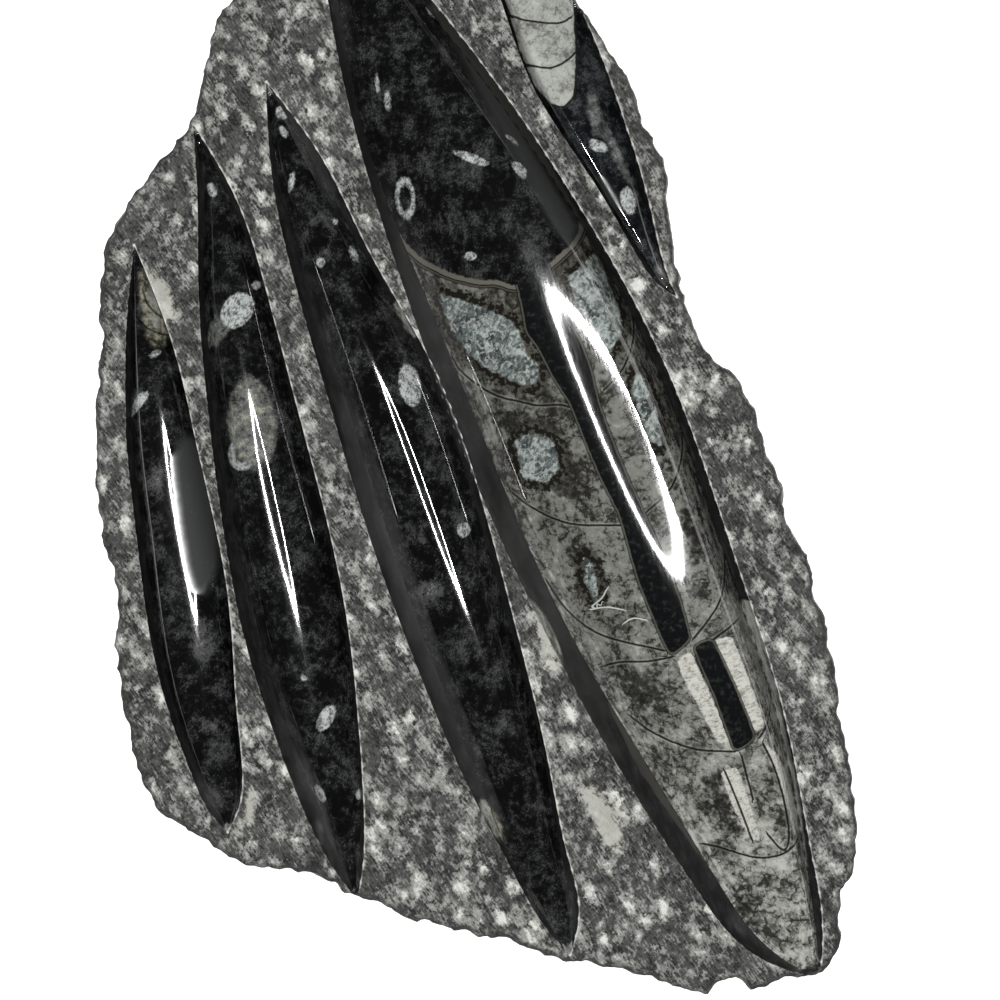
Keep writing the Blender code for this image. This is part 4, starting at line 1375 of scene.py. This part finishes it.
    def make(self) -> bpy.types.Material:
        """Builds the material."""
        f = Finish(self.name)
        colour = self.chambers(f)
        colour = self.walls(f, colour)
        colour = self.thin_line(f, colour, "scratch", "#c4c7c0", 0.05, 0.28, 0.8)
        mud = f.ragged("mud", 0.15, 3.0)
        for cover, full, none, most in (
            (self.line, 2.15, 2.35, 0.8), (self.border, 1.9, 2.0, 0.9), (self.line, 1.5, 1.65, 0.9),
            ("#5f5d55", 1.2, 1.35, 0.85),
        ):  # fmt: skip
            colour = f.layer(colour, cover, mud, full, none, most)
        tube = f.ragged("siphuncle", 0.15, 2.0)
        depth = f.add("TexNoise", {"Vector": f.place, "Scale": 1 / 1.6, "Detail": 6.0, "Roughness": 0.75})
        filling = f.layer(linear("#0a0b0c"), "#2b2d2c", depth, 0.72, 0.5)
        colour = f.layer(colour, self.line, tube, 0.75, 0.95, 0.8)
        colour = f.layer(colour, "#57564f", tube, 0.5, 0.65, 0.5)
        colour = f.layer(colour, filling, tube, 0.05, 0.3)
        colour = f.layer(colour, self.ground(f), f.ragged("mud", 0.5, 1.2), -0.1, 0.4)
        self.polish(f, colour)
        return f.material


@dataclass(frozen=True)
class PaleLimestone(ChamberedLimestone):
    """The upper orthoceras: white calcite chambers down to their rounded end, then blue-black rock."""

    name: str = "polished_pale_calcite"
    black: str = "#07090b"
    cloud: str = "#1d2225"
    olive: str = "#34332f"
    cream: str = "#8b8e8e"
    calcite: str = "#989a94"
    dusk: str = "#70716b"
    chalk: str = "#b4b6b0"
    stain: str = "#3f3e39"
    flow: float = 1.0
    cracked: float = 0.55
    pale_from: float = 60.0
    paling: float = 0.0

    def make(self) -> bpy.types.Material:
        """Builds the material."""
        f = Finish(self.name)
        pale = self.walls(f, self.chambers(f))
        shell = f.ragged("calcite", 0.3, 2.5)
        colour = f.layer(self.ground(f), "#1a1a18", shell, 0.5, 0.8)
        colour = f.layer(colour, pale, shell, -0.1, 0.25)
        self.polish(f, colour)
        return f.material


@dataclass(frozen=True)
class SawnLimestone:
    """The back, as the diamond saw left it: flat, matt, mid-grey with the saw's straight scores."""

    name: str = "sawn_limestone"
    dark: str = "#45443f"
    pale: str = "#7b7a73"
    roughness: float = 0.62

    def make(self) -> bpy.types.Material:
        """Builds the material."""
        f = Finish(self.name)
        score = f.streaks(0.8, 60.0, 72.0)
        cloud = f.add("TexNoise", {"Vector": f.place, "Scale": 1 / 18.0, "Detail": 7.0, "Roughness": 0.62})
        grit = f.add("TexNoise", {"Vector": f.place, "Scale": 1 / 0.6, "Detail": 3.0})
        colour = f.add("Mix", {0: cloud, 6: linear(self.dark), 7: linear(self.pale)}, data_type="RGBA")
        colour = f.layer(colour, "#a3a299", score, 0.75, 0.5, 0.4)
        colour = f.layer(colour, "#2a2926", grit, 0.3, 0.5, 0.5)
        bump = f.add("Bump", {"Height": score, "Strength": 0.2, "Distance": 0.1 * MM})
        f.shape({"Base Color": colour, "Roughness": self.roughness, "IOR": 1.55, "Normal": bump})
        return f.material


@dataclass
class Studio:
    """A pale glowing table, a dim room, a ring light round the camera, and the camera."""

    table_size: float = 3.0
    aim: Point = (6.25, -23.75)  # millimetres, the middle of what the camera sees
    view_width: float = 250.0  # millimetres across the view at the pecked face
    camera_height: float = 650.0  # millimetres over the pecked face
    sensor: float = 36.0
    ring_height: float = 800.0
    ring_centre: Point = (-10.0, -10.0)
    ring_radius: float = 105.0
    ring_width: float = 11.0
    ring_power: float = 8.6
    ring_parts: int = 20
    room: float = 0.05

    def camera(self) -> None:
        """Hangs the camera straight over the slab."""
        lens = bpy.data.cameras.new("camera")
        lens.sensor_width = self.sensor
        lens.lens = self.sensor * self.camera_height / self.view_width
        lens.clip_start = 0.01
        eye = bpy.data.objects.new("camera", lens)
        height = Sizes.thickness + self.camera_height
        eye.location = Vector((*self.aim, height)) * MM
        bpy.context.scene.collection.objects.link(eye)
        bpy.context.scene.camera = eye

    def ring_light(self) -> None:
        """Hangs the ring light: short panels side by side in a circle, all facing the table."""
        panel = bpy.data.lights.new("ring_panel", "AREA")
        panel.shape = "RECTANGLE"
        panel.size = math.tau * self.ring_radius / self.ring_parts * 1.02 * MM
        panel.size_y = self.ring_width * MM
        panel.energy = self.ring_power / self.ring_parts
        for number in range(self.ring_parts):
            angle = math.tau * number / self.ring_parts
            lamp = bpy.data.objects.new(f"ring_panel_{number}", panel)
            x = self.ring_centre[0] + self.ring_radius * math.cos(angle)
            y = self.ring_centre[1] + self.ring_radius * math.sin(angle)
            lamp.location = Vector((x, y, self.ring_height)) * MM
            lamp.rotation_euler = (0.0, 0.0, angle + math.pi / 2)
            bpy.context.scene.collection.objects.link(lamp)

    def table(self) -> None:
        """Lays the table: white acrylic, softly lit from below."""
        bpy.ops.mesh.primitive_plane_add(size=self.table_size, location=(0, 0, 0))
        top = bpy.context.active_object
        top.name = "table"
        f = Finish("white_acrylic")
        f.shape({
            "Base Color": linear("#f2f2f2"),
            "Roughness": 0.6,
            "Emission Color": linear("#ffffff"),
            "Emission Strength": 0.75,
        })
        top.data.materials.append(f.material)

    def room_light(self) -> None:
        """Fills the room with dim, even light."""
        world = bpy.data.worlds.new("room")
        world.use_nodes = True
        world.node_tree.nodes["Background"].inputs["Color"].default_value = (1.0, 1.0, 1.0, 1.0)
        world.node_tree.nodes["Background"].inputs["Strength"].default_value = self.room
        bpy.context.scene.world = world

    def build(self) -> None:
        """Sets up all of it."""
        self.camera()
        self.ring_light()
        self.table()
        self.room_light()
        bpy.context.scene.view_settings.view_transform = "Standard"


FINISHES = {
    Zone.PECKED: PeckedLimestone(),
    Zone.GROUND: GroundLimestone(),
    Zone.BLACK: PolishedLimestone(),
    Zone.CHAMBERED: ChamberedLimestone(),
    Zone.PALE: PaleLimestone(),
    Zone.SAWN: SawnLimestone(),
}


def main() -> None:
    """Builds the stone and the studio, and notes the sizes."""
    stone = Slab(Sizes()).build()
    for zone in Zone:
        stone.data.materials.append(FINISHES[zone].make())
    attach(stone, "root")
    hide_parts(STONE)
    LOG.info("stone: %d polygons", len(stone.data.polygons))
    Studio().build()


if __name__ == "__main__":
    main()
